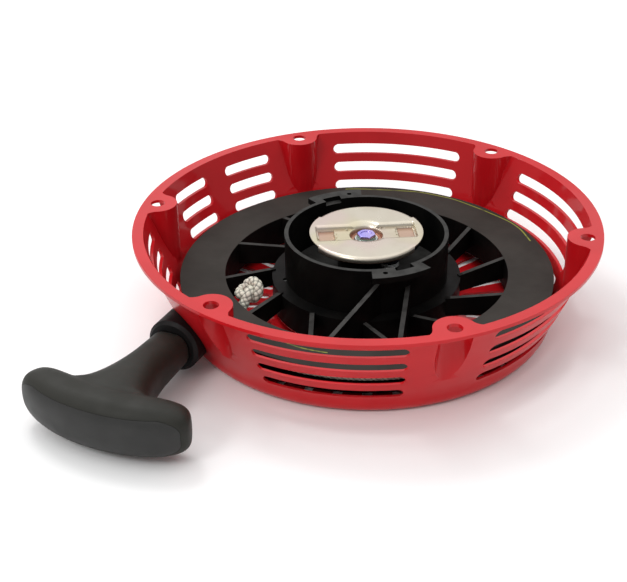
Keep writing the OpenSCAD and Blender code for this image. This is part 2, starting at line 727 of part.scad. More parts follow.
module cap_cut(gap) {
    inner_r = grip_depth / 2 - cap_t - gap;
    bar_arc(grip_half_angle + 2.5 + gap * 0.8) translate([inner_r, -cap_h / 2 - gap]) square([cap_t + 6, cap_h + 2 * gap]);
}

module grip_solid() {
    bar_arc(grip_half_angle) bar_section(grip_depth, grip_h, grip_round);
    bar_ends();
    translate([0, 0, -stem_w / 2]) linear_extrude(stem_w) stem_plan();
}

module grip_body() {
    color([0.2, 0.2, 0.195]) at_outlet() difference() {
        grip_solid();
        cap_cut(0.1);
        translate([stem_start - over, 0, 0]) rotate([0, 90, 0]) cylinder(r = rope_d / 2 + 0.3, h = grip_reach, $fn = 48);
        translate([grip_reach - 6, 0, 0]) rotate([0, 90, 0]) cylinder(r = 7.5, h = 30, $fn = 64);
    }
}

module grip_cap() {
    color([0.27, 0.27, 0.265]) at_outlet() intersection() {
        cap_cut(0);
        union() {
            bar_arc(grip_half_angle) bar_section(grip_depth, grip_h, grip_round);
            bar_ends();
        }
    }
}

module grip_ferrule() {
    color([0.7, 0.7, 0.7]) at_outlet() translate([grip_reach - 6, 0, 0]) rotate([0, 90, 0]) difference() {
        cylinder(r = 7, h = 1.2, $fn = 64);
        translate([0, 0, -over]) cylinder(r = rope_d / 2 + 0.2, h = 4, $fn = 48);
    }
}

module grip_knot() {
    color([0.88, 0.87, 0.8]) at_outlet() difference() {
        union() {
            translate([grip_reach + 0.3, 0, 0]) sphere(r = 5.1, $fn = 48);
            translate([grip_reach + 2.2, 1.5, 0.6]) sphere(r = 4.4, $fn = 48);
        }
        translate([grip_reach - 10, 0, 0]) rotate([0, 90, 0]) cylinder(d = rope_d + 0.2, h = 6.1, $fn = 48);
    }
}

housing();
center_post();
rope_ferrule();
outlet_collar();
reel();
reel_bushing();
spring_cover();
cover_screws();
spring_stud();
recoil_spring();
thrust_washer();
friction_spring();
guide_plate();
bolt_washer();
center_bolt();
pawl_a();
pawl_b();
pawl_pins();
pawl_spring_a();
pawl_spring_b();
rope_coil();
anchor_knot();
rope_lead();
grip_body();
grip_cap();
grip_ferrule();
grip_knot();
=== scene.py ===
"""Looks of a recoil starter for a small air-cooled engine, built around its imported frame.

Lengths are in metres unless a name ends in _mm. The frame's origin is the centre of the bolt circle
on the mounting face, with +Z towards the engine.
"""

import logging
import math
from dataclasses import dataclass, field
from enum import Enum

import bmesh
import bpy
import numpy as np
from mathutils import Matrix


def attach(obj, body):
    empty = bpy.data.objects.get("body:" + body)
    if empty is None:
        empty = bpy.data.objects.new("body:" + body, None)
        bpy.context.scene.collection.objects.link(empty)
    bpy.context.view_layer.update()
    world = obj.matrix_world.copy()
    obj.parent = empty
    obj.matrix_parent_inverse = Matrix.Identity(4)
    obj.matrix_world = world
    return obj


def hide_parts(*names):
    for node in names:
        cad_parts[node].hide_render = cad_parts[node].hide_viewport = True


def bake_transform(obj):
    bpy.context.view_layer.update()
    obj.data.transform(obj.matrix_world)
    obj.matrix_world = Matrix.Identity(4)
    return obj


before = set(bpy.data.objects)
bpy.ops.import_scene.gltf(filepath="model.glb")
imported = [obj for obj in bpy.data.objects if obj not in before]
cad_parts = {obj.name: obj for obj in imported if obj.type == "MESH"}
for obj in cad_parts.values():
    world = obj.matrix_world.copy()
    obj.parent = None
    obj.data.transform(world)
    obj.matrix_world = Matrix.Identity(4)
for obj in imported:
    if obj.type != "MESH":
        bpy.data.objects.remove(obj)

MM = 0.001
LOG = logging.getLogger("recoil_starter")

# Faces across a rounded edge, and the angle in degrees under which neighbouring triangles make one face
EDGE_FACES = 2
FLAT_ANGLE = 0.15

Colour = tuple[float, float, float]
Place = tuple[float, float, float]
Socket = bpy.types.NodeSocket


class Body(Enum):
    """Bodies that the pieces ride on."""

    ROOT = "root"
    REEL = "reel"
    GUIDE = "guide"
    PAWL_LEFT = "pawl_left"
    PAWL_RIGHT = "pawl_right"
    GRIP = "grip"


class Axis(Enum):
    """Index of each coordinate."""

    X = 0
    Y = 1
    Z = 2


# ---------------------------------------------------------------- finishes


class ShaderSheet:
    """Node tree of one material: a surface shader fed by patterns on object coordinates."""

    def __init__(self, name: str) -> None:
        """Starts the material.

        Args:
            name: name of the material.
        """
        self.material = bpy.data.materials.new(name)
        self.material.use_nodes = True
        self.tree = self.material.node_tree
        self.shader = self.tree.nodes["Principled BSDF"]
        self.place = self.tree.nodes.new("ShaderNodeTexCoord").outputs["Object"]

    def set(self, **values: float | Colour) -> None:
        """Sets plain values on the shader's sockets.

        Args:
            values: a number or a colour for each socket, whose names have underscores for spaces.
        """
        for key, value in values.items():
            socket = self.shader.inputs[key.replace("_", " ")]
            socket.default_value = (*value, 1.0) if isinstance(value, tuple) else value

    def feed(self, socket: str, source: Socket) -> None:
        """Links a pattern to one of the shader's sockets."""
        self.tree.links.new(source, self.shader.inputs[socket])

    def stretched(self, scale: Place, source: Socket | None = None) -> Socket:
        """Coordinates stretched along the axes.

        Args:
            scale: factor on each axis.
            source: coordinates to stretch, or object coordinates.

        Returns:
            The stretched coordinates.
        """
        node = self.tree.nodes.new("ShaderNodeMapping")
        node.inputs["Scale"].default_value = scale
        self.tree.links.new(source or self.place, node.inputs["Vector"])
        return node.outputs["Vector"]

    def noise(self, size_mm: float, detail: float = 3.0, place: Socket | None = None) -> Socket:
        """Cloudy pattern.

        Args:
            size_mm: size of its larger spots.
            detail: octaves of finer spots.
            place: coordinates to read, or object coordinates.

        Returns:
            A value that mostly lies between 0.3 and 0.7.
        """
        node = self.tree.nodes.new("ShaderNodeTexNoise")
        node.inputs["Scale"].default_value = 1.0 / (size_mm * MM)
        node.inputs["Detail"].default_value = detail
        self.tree.links.new(place or self.place, node.inputs["Vector"])
        return node.outputs["Fac"]

    def ramp(self, value: Socket, low: float, high: float, out: tuple[float, float] = (0.0, 1.0)) -> Socket:
        """Maps low..high to out, held at both ends.

        Args:
            value: the pattern to map.
            low: value that gives out[0].
            high: value that gives out[1].
            out: the two results.

        Returns:
            The mapped value.
        """
        node = self.tree.nodes.new("ShaderNodeMapRange")
        node.interpolation_type = "SMOOTHSTEP"
        node.inputs["From Min"].default_value = low
        node.inputs["From Max"].default_value = high
        node.inputs["To Min"].default_value, node.inputs["To Max"].default_value = out
        self.tree.links.new(value, node.inputs["Value"])
        return node.outputs["Result"]

    def math(self, operation: str, first: Socket | float, second: Socket | float = 0.0) -> Socket:
        """Arithmetic on two values.

        Args:
            operation: name of the operation.
            first: the first value, a pattern or a number.
            second: the second value, a pattern or a number.

        Returns:
            The result.
        """
        node = self.tree.nodes.new("ShaderNodeMath")
        node.operation = operation
        for slot, value in zip(node.inputs, (first, second)):
            if isinstance(value, (int, float)):
                slot.default_value = value
            else:
                self.tree.links.new(value, slot)
        return node.outputs["Value"]

    def coordinate(self, axis: Axis) -> Socket:
        """One object coordinate, in metres.

        Args:
            axis: which coordinate.

        Returns:
            The coordinate.
        """
        node = self.tree.nodes.new("ShaderNodeSeparateXYZ")
        self.tree.links.new(self.place, node.inputs["Vector"])
        return node.outputs[axis.value]

    def facing(self, axis: Axis) -> Socket:
        """How far the surface faces along an axis.

        Args:
            axis: the axis.

        Returns:
            A value from -1 to 1.
        """
        geometry = self.tree.nodes.new("ShaderNodeNewGeometry")
        node = self.tree.nodes.new("ShaderNodeSeparateXYZ")
        self.tree.links.new(geometry.outputs["Normal"], node.inputs["Vector"])
        return node.outputs[axis.value]

    def distance(self, centre: Place) -> Socket:
        """Distance from a point, measured in plan.

        Args:
            centre: the point, in metres, with a height of zero.

        Returns:
            The distance in metres.
        """
        node = self.tree.nodes.new("ShaderNodeVectorMath")
        node.operation = "DISTANCE"
        self.tree.links.new(self.stretched((1.0, 1.0, 0.0)), node.inputs[0])
        node.inputs[1].default_value = centre
        return node.outputs["Value"]

    def blend(self, factor: Socket, first: Colour | Socket, second: Colour | Socket) -> Socket:
        """Mixes two colours.

        Args:
            factor: share of the second colour.
            first: the first colour, plain or a pattern.
            second: the second colour, plain or a pattern.

        Returns:
            The mixed colour.
        """
        node = self.tree.nodes.new("ShaderNodeMix")
        node.data_type = "RGBA"
        self.tree.links.new(factor, node.inputs["Factor"])
        for slot, value in ((node.inputs[6], first), (node.inputs[7], second)):
            if isinstance(value, tuple):
                slot.default_value = (*value, 1.0)
            else:
                self.tree.links.new(value, slot)
        return node.outputs[2]

    def bump(self, height: Socket, depth_mm: float, below: Socket | None = None) -> Socket:
        """Surface relief.

        Args:
            height: the relief's pattern, 0 to 1.
            depth_mm: its depth.
            below: the relief that this one lies on.

        Returns:
            The bent normal.
        """
        node = self.tree.nodes.new("ShaderNodeBump")
        node.inputs["Distance"].default_value = depth_mm * MM
        self.tree.links.new(height, node.inputs["Height"])
        if below is not None:
            self.tree.links.new(below, node.inputs["Normal"])
        return node.outputs["Normal"]


@dataclass(frozen=True)
class Finish:
    """A surface with clouds of a second tint, uneven roughness and fine relief."""

    slot: str
    colour: Colour
    tint: Colour
    roughness: tuple[float, float]
    cloud_mm: float = 12.0
    grain_mm: float = 0.6
    grain_depth_mm: float = 0.01
    wave_mm: float = 4.0
    wave_depth_mm: float = 0.0
    metallic: float = 0.0
    specular: float = 0.5
    coat: float = 0.0
    coat_roughness: float = 0.05

    def colours(self, sheet: ShaderSheet) -> Socket:
        """Base colour: the tint in soft clouds over the colour."""
        return sheet.blend(sheet.ramp(sheet.noise(self.cloud_mm), 0.35, 0.65), self.colour, self.tint)

    def roughnesses(self, sheet: ShaderSheet) -> Socket:
        """Roughness between its two limits, in smudges."""
        return sheet.ramp(sheet.noise(self.cloud_mm * 0.6, 5.0), 0.3, 0.7, self.roughness)

    def relief(self, sheet: ShaderSheet) -> Socket:
        """Fine grain over a long soft waviness.

        Args:
            sheet: the material's sheet.

        Returns:
            The bent normal.
        """
        grain = sheet.bump(sheet.noise(self.grain_mm, 4.0), self.grain_depth_mm)
        if self.wave_depth_mm:
            grain = sheet.bump(sheet.noise(self.wave_mm, 1.0), self.wave_depth_mm, grain)
        return grain

    def make(self) -> bpy.types.Material:
        """Builds the material.

        Returns:
            The material.
        """
        sheet = ShaderSheet(self.slot + "_finish")
        sheet.material["slot"] = self.slot
        sheet.set(Metallic=self.metallic, Specular_IOR_Level=self.specular, Coat_Weight=self.coat,
                  Coat_Roughness=self.coat_roughness)
        sheet.feed("Base Color", self.colours(sheet))
        sheet.feed("Roughness", self.roughnesses(sheet))
        sheet.feed("Normal", self.relief(sheet))
        return sheet.material


@dataclass(frozen=True)
class ReelPlastic(Finish):
    """Moulded black nylon with painted highlights on its upward-facing rim tops; its flange is dulled by
    handling and marked with a wandering pen line.
    """

    flange_colour: Colour = (0.042, 0.038, 0.034)
    flange_inner: float = 0.0695
    flange_level: float = -0.0268
    rim_highlight_colour: Colour = (0.045, 0.044, 0.042)
    rim_highlight_level: float = -0.0287
    pen_colour: Colour = (0.24, 0.26, 0.05)
    highlight_breakup_mm: float = 5.0
    dust_mm: float = 22.0
    dust_shade: float = 0.80
    worn_roughness: float = 0.16
    wander_mm: float = 40.0
    wander_reach: float = 0.001
    fading_mm: float = 6.0
    pen_centre: Place = (0.0018, 0.0034, 0.0)
    pen_radii: tuple[float, float] = (0.0826, 0.0863)
    pen_half_width: float = 0.00032
    pen_from_y: float = 0.042
    pen_far_from_x: float = -0.026
    pen_near_to_x: float = -0.004

    def pen_line(self, sheet: ShaderSheet, face: Socket) -> Socket:
        """Where a pen has marked the flange's face: two arcs of a wandering circle, fainter where worn.

        Args:
            sheet: the material's sheet.
            face: 1 on the flange's face and 0 elsewhere.

        Returns:
            The line's strength.
        """
        x, y = sheet.coordinate(Axis.X), sheet.coordinate(Axis.Y)
        wander = sheet.ramp(sheet.noise(self.wander_mm, 1.0), 0.3, 0.7, (-self.wander_reach, self.wander_reach))
        reached = sheet.math("ADD", sheet.distance(self.pen_centre), wander)
        radius = sheet.ramp(y, -self.pen_from_y, self.pen_from_y, self.pen_radii)
        off_line = sheet.math("ABSOLUTE", sheet.math("SUBTRACT", reached, radius))
        line = sheet.ramp(off_line, self.pen_half_width * 1.5, self.pen_half_width * 0.6)
        far_arc = sheet.math("MULTIPLY", sheet.math("GREATER_THAN", y, self.pen_from_y),
                             sheet.math("GREATER_THAN", x, self.pen_far_from_x))
        near_arc = sheet.math("MULTIPLY", sheet.math("LESS_THAN", y, -self.pen_from_y),
                              sheet.math("LESS_THAN", x, self.pen_near_to_x))
        drawn = sheet.math("MULTIPLY", sheet.math("MULTIPLY", line, face), sheet.math("ADD", far_arc, near_arc))
        fading = sheet.ramp(sheet.noise(self.fading_mm, 3.0), 0.36, 0.5, (0.35, 1.0))
        return sheet.math("MULTIPLY", drawn, fading)

    def colours(self, sheet: ShaderSheet) -> Socket:
        """Black, with a grey painted highlight on upward-facing rim tops, grey-brown on the flange's face, and
        yellow-green along the pen line.

        Args:
            sheet: the material's sheet.

        Returns:
            The colour.
        """
        height = sheet.coordinate(Axis.Z)
        on_ring = sheet.math("GREATER_THAN", sheet.distance((0.0, 0.0, 0.0)), self.flange_inner)
        face = sheet.math("MULTIPLY", on_ring, sheet.math("GREATER_THAN", height, self.flange_level))
        # Painted highlight: surfaces that face upwards above a height are lightened to grey, unevenly through a
        # noise pattern.
        upward = sheet.ramp(sheet.facing(Axis.Z), 0.5, 0.95)
        painted_rim_highlight = sheet.math("MULTIPLY", upward, sheet.math("GREATER_THAN", height, self.rim_highlight_level))
        highlight_breakup = sheet.ramp(sheet.noise(self.highlight_breakup_mm, 4.0), 0.3, 0.6, (0.6, 1.0))
        plain = sheet.blend(sheet.math("MULTIPLY", painted_rim_highlight, highlight_breakup), super().colours(sheet), self.rim_highlight_colour)
        dusty = sheet.blend(sheet.ramp(sheet.noise(self.dust_mm, 3.0), 0.35, 0.68), self.flange_colour,
                            tuple(self.dust_shade * c for c in self.flange_colour))
        return sheet.blend(self.pen_line(sheet, face), sheet.blend(face, plain, dusty), self.pen_colour)

    def roughnesses(self, sheet: ShaderSheet) -> Socket:
        """Rougher on the worn flange than between the blades.

        Args:
            sheet: the material's sheet.

        Returns:
            The roughness.
        """
        worn = sheet.ramp(sheet.distance((0.0, 0.0, 0.0)), self.flange_inner - 0.002, self.flange_inner,
                          (0.0, self.worn_roughness))
        return sheet.math("ADD", super().roughnesses(sheet), worn)


@dataclass(frozen=True)
class ZincPlating(Finish):
    """Passivated zinc: a pale metal with rose, straw and green drifts, and gold in its pressed depths."""

    rose: Colour = (0.60, 0.50, 0.45)
    straw: Colour = (0.60, 0.55, 0.39)
    rose_mm: float = 24.0
    straw_mm: float = 18.0
    depth_colour: Colour = (0.46, 0.26, 0.19)
    face_level: float = -0.0079
    deep_level: float = -0.0096

    def colours(self, sheet: ShaderSheet) -> Socket:
        """Colour drifts on the face and gold below it.

        Args:
            sheet: the material's sheet.

        Returns:
            The colour.
        """
        pale = super().colours(sheet)
        rosy = sheet.blend(sheet.ramp(sheet.noise(self.rose_mm, 0.5), 0.42, 0.68), pale, self.rose)
        turned = sheet.stretched((1.0, -0.7, 1.3))
        drift = sheet.blend(sheet.ramp(sheet.noise(self.straw_mm, 0.5, turned), 0.48, 0.72), rosy, self.straw)
        depth = sheet.ramp(sheet.coordinate(Axis.Z), self.face_level, self.deep_level)
        return sheet.blend(depth, drift, self.depth_colour)


@dataclass(frozen=True)
class BraidedFibre(Finish):
    """Braided cord: yarns that follow the piece's own crest heights, with painted shade in the gaps between
    them.
    """

    painted_gap_shade: float = 0.30

    def colours(self, sheet: ShaderSheet) -> Socket:
        """Ivory yarn crests, with painted shade between them.

        Args:
            sheet: the material's sheet.

        Returns:
            The colour.
        """
        crest = sheet.tree.nodes.new("ShaderNodeAttribute")
        crest.attribute_name = "crest"
        # Painted shade: the colour darkens from the yarn crests into the gaps between them, where the relief
        # would cast shade.
        gap_shade_to_crest = sheet.ramp(crest.outputs["Fac"], 0.15, 0.75)
        return sheet.blend(gap_shade_to_crest, tuple(self.painted_gap_shade * c for c in self.colour), super().colours(sheet))


class Finishes:
    """Every finish of the starter, built once."""

    def __init__(self) -> None:
        """Builds the materials."""
        self.red_paint = Finish(
            "red_paint", (0.55, 0.008, 0.013), (0.50, 0.006, 0.010), (0.30, 0.38), cloud_mm=30.0, grain_mm=1.1,
            grain_depth_mm=0.004, wave_mm=9.0, wave_depth_mm=0.03, specular=0.12, coat=0.38,
            coat_roughness=0.05).make()
        self.black_nylon = ReelPlastic(
            "black_nylon", (0.0028, 0.0028, 0.0028), (0.0055, 0.0052, 0.0048), (0.30, 0.42), cloud_mm=15.0,
            grain_mm=0.5, grain_depth_mm=0.012, wave_mm=6.0, wave_depth_mm=0.03, specular=0.05).make()
        self.grip_plastic = Finish(
            "grip_plastic", (0.017, 0.017, 0.0135), (0.021, 0.0205, 0.0165), (0.48, 0.60), cloud_mm=18.0,
            grain_mm=0.35, grain_depth_mm=0.02, wave_mm=9.0, wave_depth_mm=0.03, specular=0.25).make()
        self.cap_plastic = Finish(
            "grip_plastic", (0.022, 0.022, 0.021), (0.027, 0.0265, 0.0255), (0.42, 0.54), cloud_mm=14.0,
            grain_mm=0.4, grain_depth_mm=0.015, specular=0.3).make()
        self.collar_rubber = Finish(
            "collar_rubber", (0.003, 0.003, 0.003), (0.006, 0.005, 0.005), (0.50, 0.68), cloud_mm=8.0,
            grain_mm=0.5, grain_depth_mm=0.02, specular=0.2).make()
        self.yellow_zinc = ZincPlating(
            "yellow_zinc", (0.60, 0.55, 0.46), (0.55, 0.50, 0.41), (0.27, 0.36), cloud_mm=14.0, grain_mm=0.5,
            grain_depth_mm=0.002, wave_mm=8.0, wave_depth_mm=0.010, metallic=0.92).make()
        self.blue_zinc = ZincPlating(
            "blue_zinc", (0.26, 0.25, 0.72), (0.42, 0.34, 0.70), (0.18, 0.30), cloud_mm=3.0, grain_mm=0.3,
            grain_depth_mm=0.01, metallic=0.85, rose=(0.50, 0.42, 0.74), straw=(0.34, 0.30, 0.80),
            depth_colour=(0.30, 0.36, 0.32), face_level=-0.0078, deep_level=-0.0090).make()
        self.bright_steel = Finish(
            "bright_steel", (0.60, 0.61, 0.60), (0.50, 0.52, 0.52), (0.24, 0.38), cloud_mm=5.0, grain_mm=0.3,
            grain_depth_mm=0.012, metallic=1.0).make()
        self.dark_steel = Finish(
            "dark_steel", (0.16, 0.17, 0.19), (0.24, 0.24, 0.25), (0.30, 0.46), cloud_mm=6.0, grain_mm=0.35,
            grain_depth_mm=0.015, metallic=1.0).make()
        self.oilite_bronze = Finish(
            "oilite_bronze", (0.46, 0.29, 0.11), (0.34, 0.20, 0.08), (0.34, 0.50), cloud_mm=4.0, grain_mm=0.25,
            grain_depth_mm=0.03, metallic=1.0).make()
        self.rope_fibre = BraidedFibre(
            "rope_fibre", (0.74, 0.72, 0.62), (0.66, 0.63, 0.52), (0.70, 0.90), cloud_mm=7.0, grain_mm=0.25,
            grain_depth_mm=0.06, specular=0.25).make()


# ---------------------------------------------------------------- meshes


def mesh_piece(name: str, points: np.ndarray, faces: np.ndarray | list[tuple[int, ...]]) -> bpy.types.Object:
    """Puts a surface into the scene as an object at the origin.

    Args:
        name: name of the piece.
        points: N by 3 places in metres.
        faces: corners of each face, in order round it, seen from outside.

    Returns:
        The object.
    """
    mesh = bpy.data.meshes.new(name)
    mesh.from_pydata(points.tolist(), [], faces if isinstance(faces, list) else faces.tolist())
    mesh.validate()
    mesh.update()
    piece = bpy.data.objects.new(name, mesh)
    bpy.context.scene.collection.objects.link(piece)
    return piece


def ring_quads(count: int, sides: int) -> np.ndarray:
    """Corners of the quads between closed rings of points, the rings numbered one after the other.

    Args:
        count: number of rings.
        sides: points in each ring.

    Returns:
        One row of four corners for each quad.
    """
    i = np.arange(count - 1)[:, None] * sides
    k = np.arange(sides)[None, :]
    n = (k + 1) % sides
    return np.stack([i + k, i + n, i + sides + n, i + sides + k], axis=-1).reshape(-1, 4)


def closed_rings(rings: np.ndarray) -> tuple[np.ndarray, list[tuple[int, ...]]]:
    """Joins closed rings of points into one closed surface with a fan at each end.

    Args:
        rings: M rings by N points by 3, each ring in order round the surface.

    Returns:
        The points, and the corners of the faces.
    """
    count, sides = rings.shape[:2]
    points = np.concatenate([rings.reshape(-1, 3), rings[0].mean(axis=0)[None], rings[-1].mean(axis=0)[None]])
    rim, after = np.arange(sides), (np.arange(sides) + 1) % sides
    base = (count - 1) * sides
    first = np.stack([after, rim, np.full(sides, count * sides)], axis=-1)
    last = np.stack([base + rim, base + after, np.full(sides, count * sides + 1)], axis=-1)
    return points, [tuple(f) for f in ring_quads(count, sides).tolist() + first.tolist() + last.tolist()]


def merged_copy(node: str, name: str, tolerance: float = 2e-6) -> bpy.types.Object:
    """Copies a CAD node's mesh with its loose triangles joined at their shared corners.

    Corners are rounded to the tolerance, equal ones become one, and triangles that lose a corner go.

    Args:
        node: the CAD node.
        name: name of the copy.
        tolerance: distance under which corners are the same.

    Returns:
        The copy, at the origin.
    """
    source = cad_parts[node].data
    points = np.empty(len(source.vertices) * 3)
    source.vertices.foreach_get("co", points)
    source.calc_loop_triangles()
    corners = np.empty(len(source.loop_triangles) * 3, dtype=np.int64)
    source.loop_triangles.foreach_get("vertices", corners)
    keys = np.round(points.reshape(-1, 3) / tolerance).astype(np.int64)
    _, first, joined = np.unique(keys, axis=0, return_index=True, return_inverse=True)
    faces = joined.reshape(-1)[corners].reshape(-1, 3)
    whole = ((faces[:, 0] != faces[:, 1]) & (faces[:, 1] != faces[:, 2]) & (faces[:, 2] != faces[:, 0]))
    return mesh_piece(name, points.reshape(-1, 3)[first], faces[whole])


def outward_faces(piece: bpy.types.Object) -> None:
    """Turns the faces of a closed piece outwards.

    Args:
        piece: the piece.
    """
    mesh = bmesh.new()
    mesh.from_mesh(piece.data)
    bmesh.ops.recalc_face_normals(mesh, faces=mesh.faces)
    mesh.to_mesh(piece.data)
    mesh.free()


def soften(piece: bpy.types.Object, crease: float = 32.0) -> None:
    """Shades a piece smooth, with creases where faces meet at more than an angle in degrees."""
    piece.data.shade_smooth()
    piece.data.set_sharp_from_angle(angle=math.radians(crease))


def round_edges(piece: bpy.types.Object, width_mm: float, crease: float = 40.0) -> None:
    """Rounds the sharp edges of a merged piece, after its flat neighbouring triangles have become one face.

    Args:
        piece: the piece.
        width_mm: width of the rounding.
        crease: smallest angle in degrees that is rounded.
    """
    flatten = piece.modifiers.new("join_flat_faces", "DECIMATE")
    flatten.decimate_type = "DISSOLVE"
    flatten.angle_limit = math.radians(FLAT_ANGLE)
    bevel = piece.modifiers.new("round_edges", "BEVEL")
    bevel.width = width_mm * MM
    bevel.segments = EDGE_FACES
    bevel.limit_method = "ANGLE"
    bevel.angle_limit = math.radians(crease)
    bevel.use_clamp_overlap = True
    bevel.harden_normals = False
    normals = piece.modifiers.new("face_weighted_normals", "WEIGHTED_NORMAL")
    normals.keep_sharp = True


def bake_modifiers(piece: bpy.types.Object) -> None:
    """Makes the result of a piece's modifiers its own mesh.

    Args:
        piece: the piece.
    """
    graph = bpy.context.evaluated_depsgraph_get()
    mesh = bpy.data.meshes.new_from_object(piece.evaluated_get(graph))
    old = piece.data
    piece.modifiers.clear()
    piece.data = mesh
    bpy.data.meshes.remove(old)
    mesh.name = piece.name


def finish_piece(piece: bpy.types.Object, body: Body, material: bpy.types.Material, *nodes: str) -> None:
    """Gives a new piece its finish and body, and lets it stand for CAD nodes.

    Args:
        piece: the piece.
        body: the body that it rides on.
        material: its finish.
        nodes: the CAD nodes that it stands for.
    """
    piece.data.materials.clear()
    piece.data.materials.append(material)
    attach(piece, body.value)
    if nodes:
        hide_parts(*nodes)
    LOG.info("%s on %s, %d faces", piece.name, body.value, len(piece.data.polygons))


def rounded_copy(node: str, name: str, body: Body, material: bpy.types.Material, width_mm: float,
                 crease: float = 40.0) -> None:
    """Puts a copy of a CAD node with rounded edges in the node's place.

    Args:
        node: the CAD node.
        name: name of the copy.
        body: the body that it rides on.
        material: its finish.
        width_mm: width of the rounding.
        crease: smallest angle in degrees that is rounded.
    """
    piece = merged_copy(node, name)
    round_edges(piece, width_mm, crease)
    soften(piece)
    finish_piece(piece, body, material, node)


def dress_node(node: str, material: bpy.types.Material) -> None:
    """Gives a CAD node that stays in view its finish.

    Args:
        node: the CAD node.
        material: its finish.
    """
    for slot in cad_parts[node].material_slots:
        slot.link = "OBJECT"
        slot.material = material
    LOG.info("%s dressed in %s", node, material["slot"])


def plan_direction(degrees: float) -> np.ndarray:
    """Level unit vector at an angle from +X."""
    return np.array([math.cos(math.radians(degrees)), math.sin(math.radians(degrees)), 0.0])


def smooth_step(value: np.ndarray, low: float, high: float) -> np.ndarray:
    """Rises from 0 at low to 1 at high along a cubic with level ends; low may lie above high."""
    share = np.clip((value - low) / (high - low), 0.0, 1.0)
    return share * share * (3.0 - 2.0 * share)


@dataclass
class BraidedCord:
    """A round cord of crossing yarns, swept along a route."""

    diameter: float = 5.0 * MM
    yarns: int = 8
    pitch: float = 10.0 * MM
    relief: float = 0.34 * MM
    sides: int = 32
    step: float = 0.4 * MM
    crest_power: float = 0.6
    dome: float = 0.8
    tip: float = 0.02

    def resampled(self, route: np.ndarray) -> np.ndarray:
        """Points an even step apart along a route, by length.

        Args:
            route: points of the route.

        Returns:
            The even points.
        """
        lengths = np.concatenate([[0.0], np.cumsum(np.linalg.norm(np.diff(route, axis=0), axis=1))])
        count = max(8, int(round(lengths[-1] / self.step)))
        even = np.linspace(0.0, lengths[-1], count + 1)
        return np.stack([np.interp(even, lengths, route[:, k]) for k in range(3)], axis=1)

    def frames(self, route: np.ndarray) -> tuple[np.ndarray, np.ndarray]:
        """Two unit vectors across the route at each point, turned as little as possible from one to the next.

        Args:
            route: points of the route.

        Returns:
            The two vectors at each point.
        """
        along = np.gradient(route, axis=0)
        along /= np.linalg.norm(along, axis=1, keepdims=True)
        across = np.empty_like(along)
        seed = np.cross(along[0], [0.0, 0.0, 1.0])
        if np.linalg.norm(seed) < 0.1:
            seed = np.cross(along[0], [1.0, 0.0, 0.0])
        across[0] = seed / np.linalg.norm(seed)
        for k in range(1, len(route)):
            carried = across[k - 1] - along[k] * np.dot(across[k - 1], along[k])
            across[k] = carried / np.linalg.norm(carried)
        return across, np.cross(along, across)

    def sweep(self, name: str, route: np.ndarray) -> bpy.types.Object:
        """Cord surface: at length s and angle t the radius is r less relief times one minus the crest.

        The crest is the product of two waves that wind round the cord in opposite directions, so its
        tops are diamonds, as on braided cord. The ends close to a dome whose radius falls as a quarter
        circle.

        Args:
            name: name of the piece.
            route: points of the centre line.

        Returns:
            The cord, with each point's crest height kept as an attribute.
        """
        line = self.resampled(route)
        side, up = self.frames(line)
        s = np.arange(len(line))[:, None] * self.step
        t = np.linspace(0.0, 2.0 * np.pi, self.sides, endpoint=False)[None, :]
        wind = self.yarns / 4.0
        turn = 2.0 * np.pi * s / self.pitch
        crest = np.abs(np.cos(wind * (t + turn)) * np.cos(wind * (t - turn))) ** self.crest_power
        from_end = np.clip(np.minimum(s, s[-1] - s) / (self.diameter / 2.0 * self.dome), 0.0, 1.0)
        radius = self.diameter / 2.0 - self.relief * (1.0 - crest)
        radius = radius * np.sqrt(np.clip(1.0 - (1.0 - from_end) ** 2, self.tip, 1.0))
        rings = line[:, None, :] + radius[..., None] * (
            np.cos(t)[..., None] * side[:, None, :] + np.sin(t)[..., None] * up[:, None, :])
        piece = mesh_piece(name, *closed_rings(rings))
        heights = np.concatenate([crest.reshape(-1), [1.0, 1.0]]).astype(np.float32)
        piece.data.attributes.new("crest", "FLOAT", "POINT").data.foreach_set("value", heights)
        piece.data.shade_smooth()
        return piece


def overhand_knot(centre: np.ndarray, towards: np.ndarray, sideways: np.ndarray, scale: float,
                  tails: tuple[float, float]) -> np.ndarray:
    """Route of an overhand knot with its two tails.

    The knot is a trefoil, which winds three times through a ring while it goes twice round it. It is
    opened on its outside, and each end runs on straight as a tail.

    Args:
        centre: middle of the knot.
        towards: direction in which the opened side faces.
        sideways: direction across it, in the knot's plane.
        scale: length of the unit that the trefoil is drawn in.
        tails: lengths of the first and last tail.

    Returns:
        Points of the route.
    """
    towards = towards / np.linalg.norm(towards)
    sideways = sideways - towards * np.dot(sideways, towards)
    sideways = sideways / np.linalg.norm(sideways)
    normal = np.cross(towards, sideways)
    opening, swell, rise = 0.30, 0.92, 0.95
    t = np.linspace(opening, 2.0 * np.pi - opening, 160)
    ring = 2.0 + swell * np.cos(3.0 * t)
    flat = np.stack([ring * np.cos(2.0 * t), ring * np.sin(2.0 * t), rise * np.sin(3.0 * t)], axis=1) * scale
    loop = centre + flat @ np.stack([towards, sideways, normal])
    reach = np.linspace(1.0, 0.0, 12)[:, None]
    lead_in = loop[0] + (loop[0] - loop[1]) / np.linalg.norm(loop[0] - loop[1]) * reach * tails[0]
    lead_out = loop[-1] + (loop[-1] - loop[-2]) / np.linalg.norm(loop[-1] - loop[-2]) * reach[::-1] * tails[1]
    return np.concatenate([lead_in[:-1], loop, lead_out[1:]])


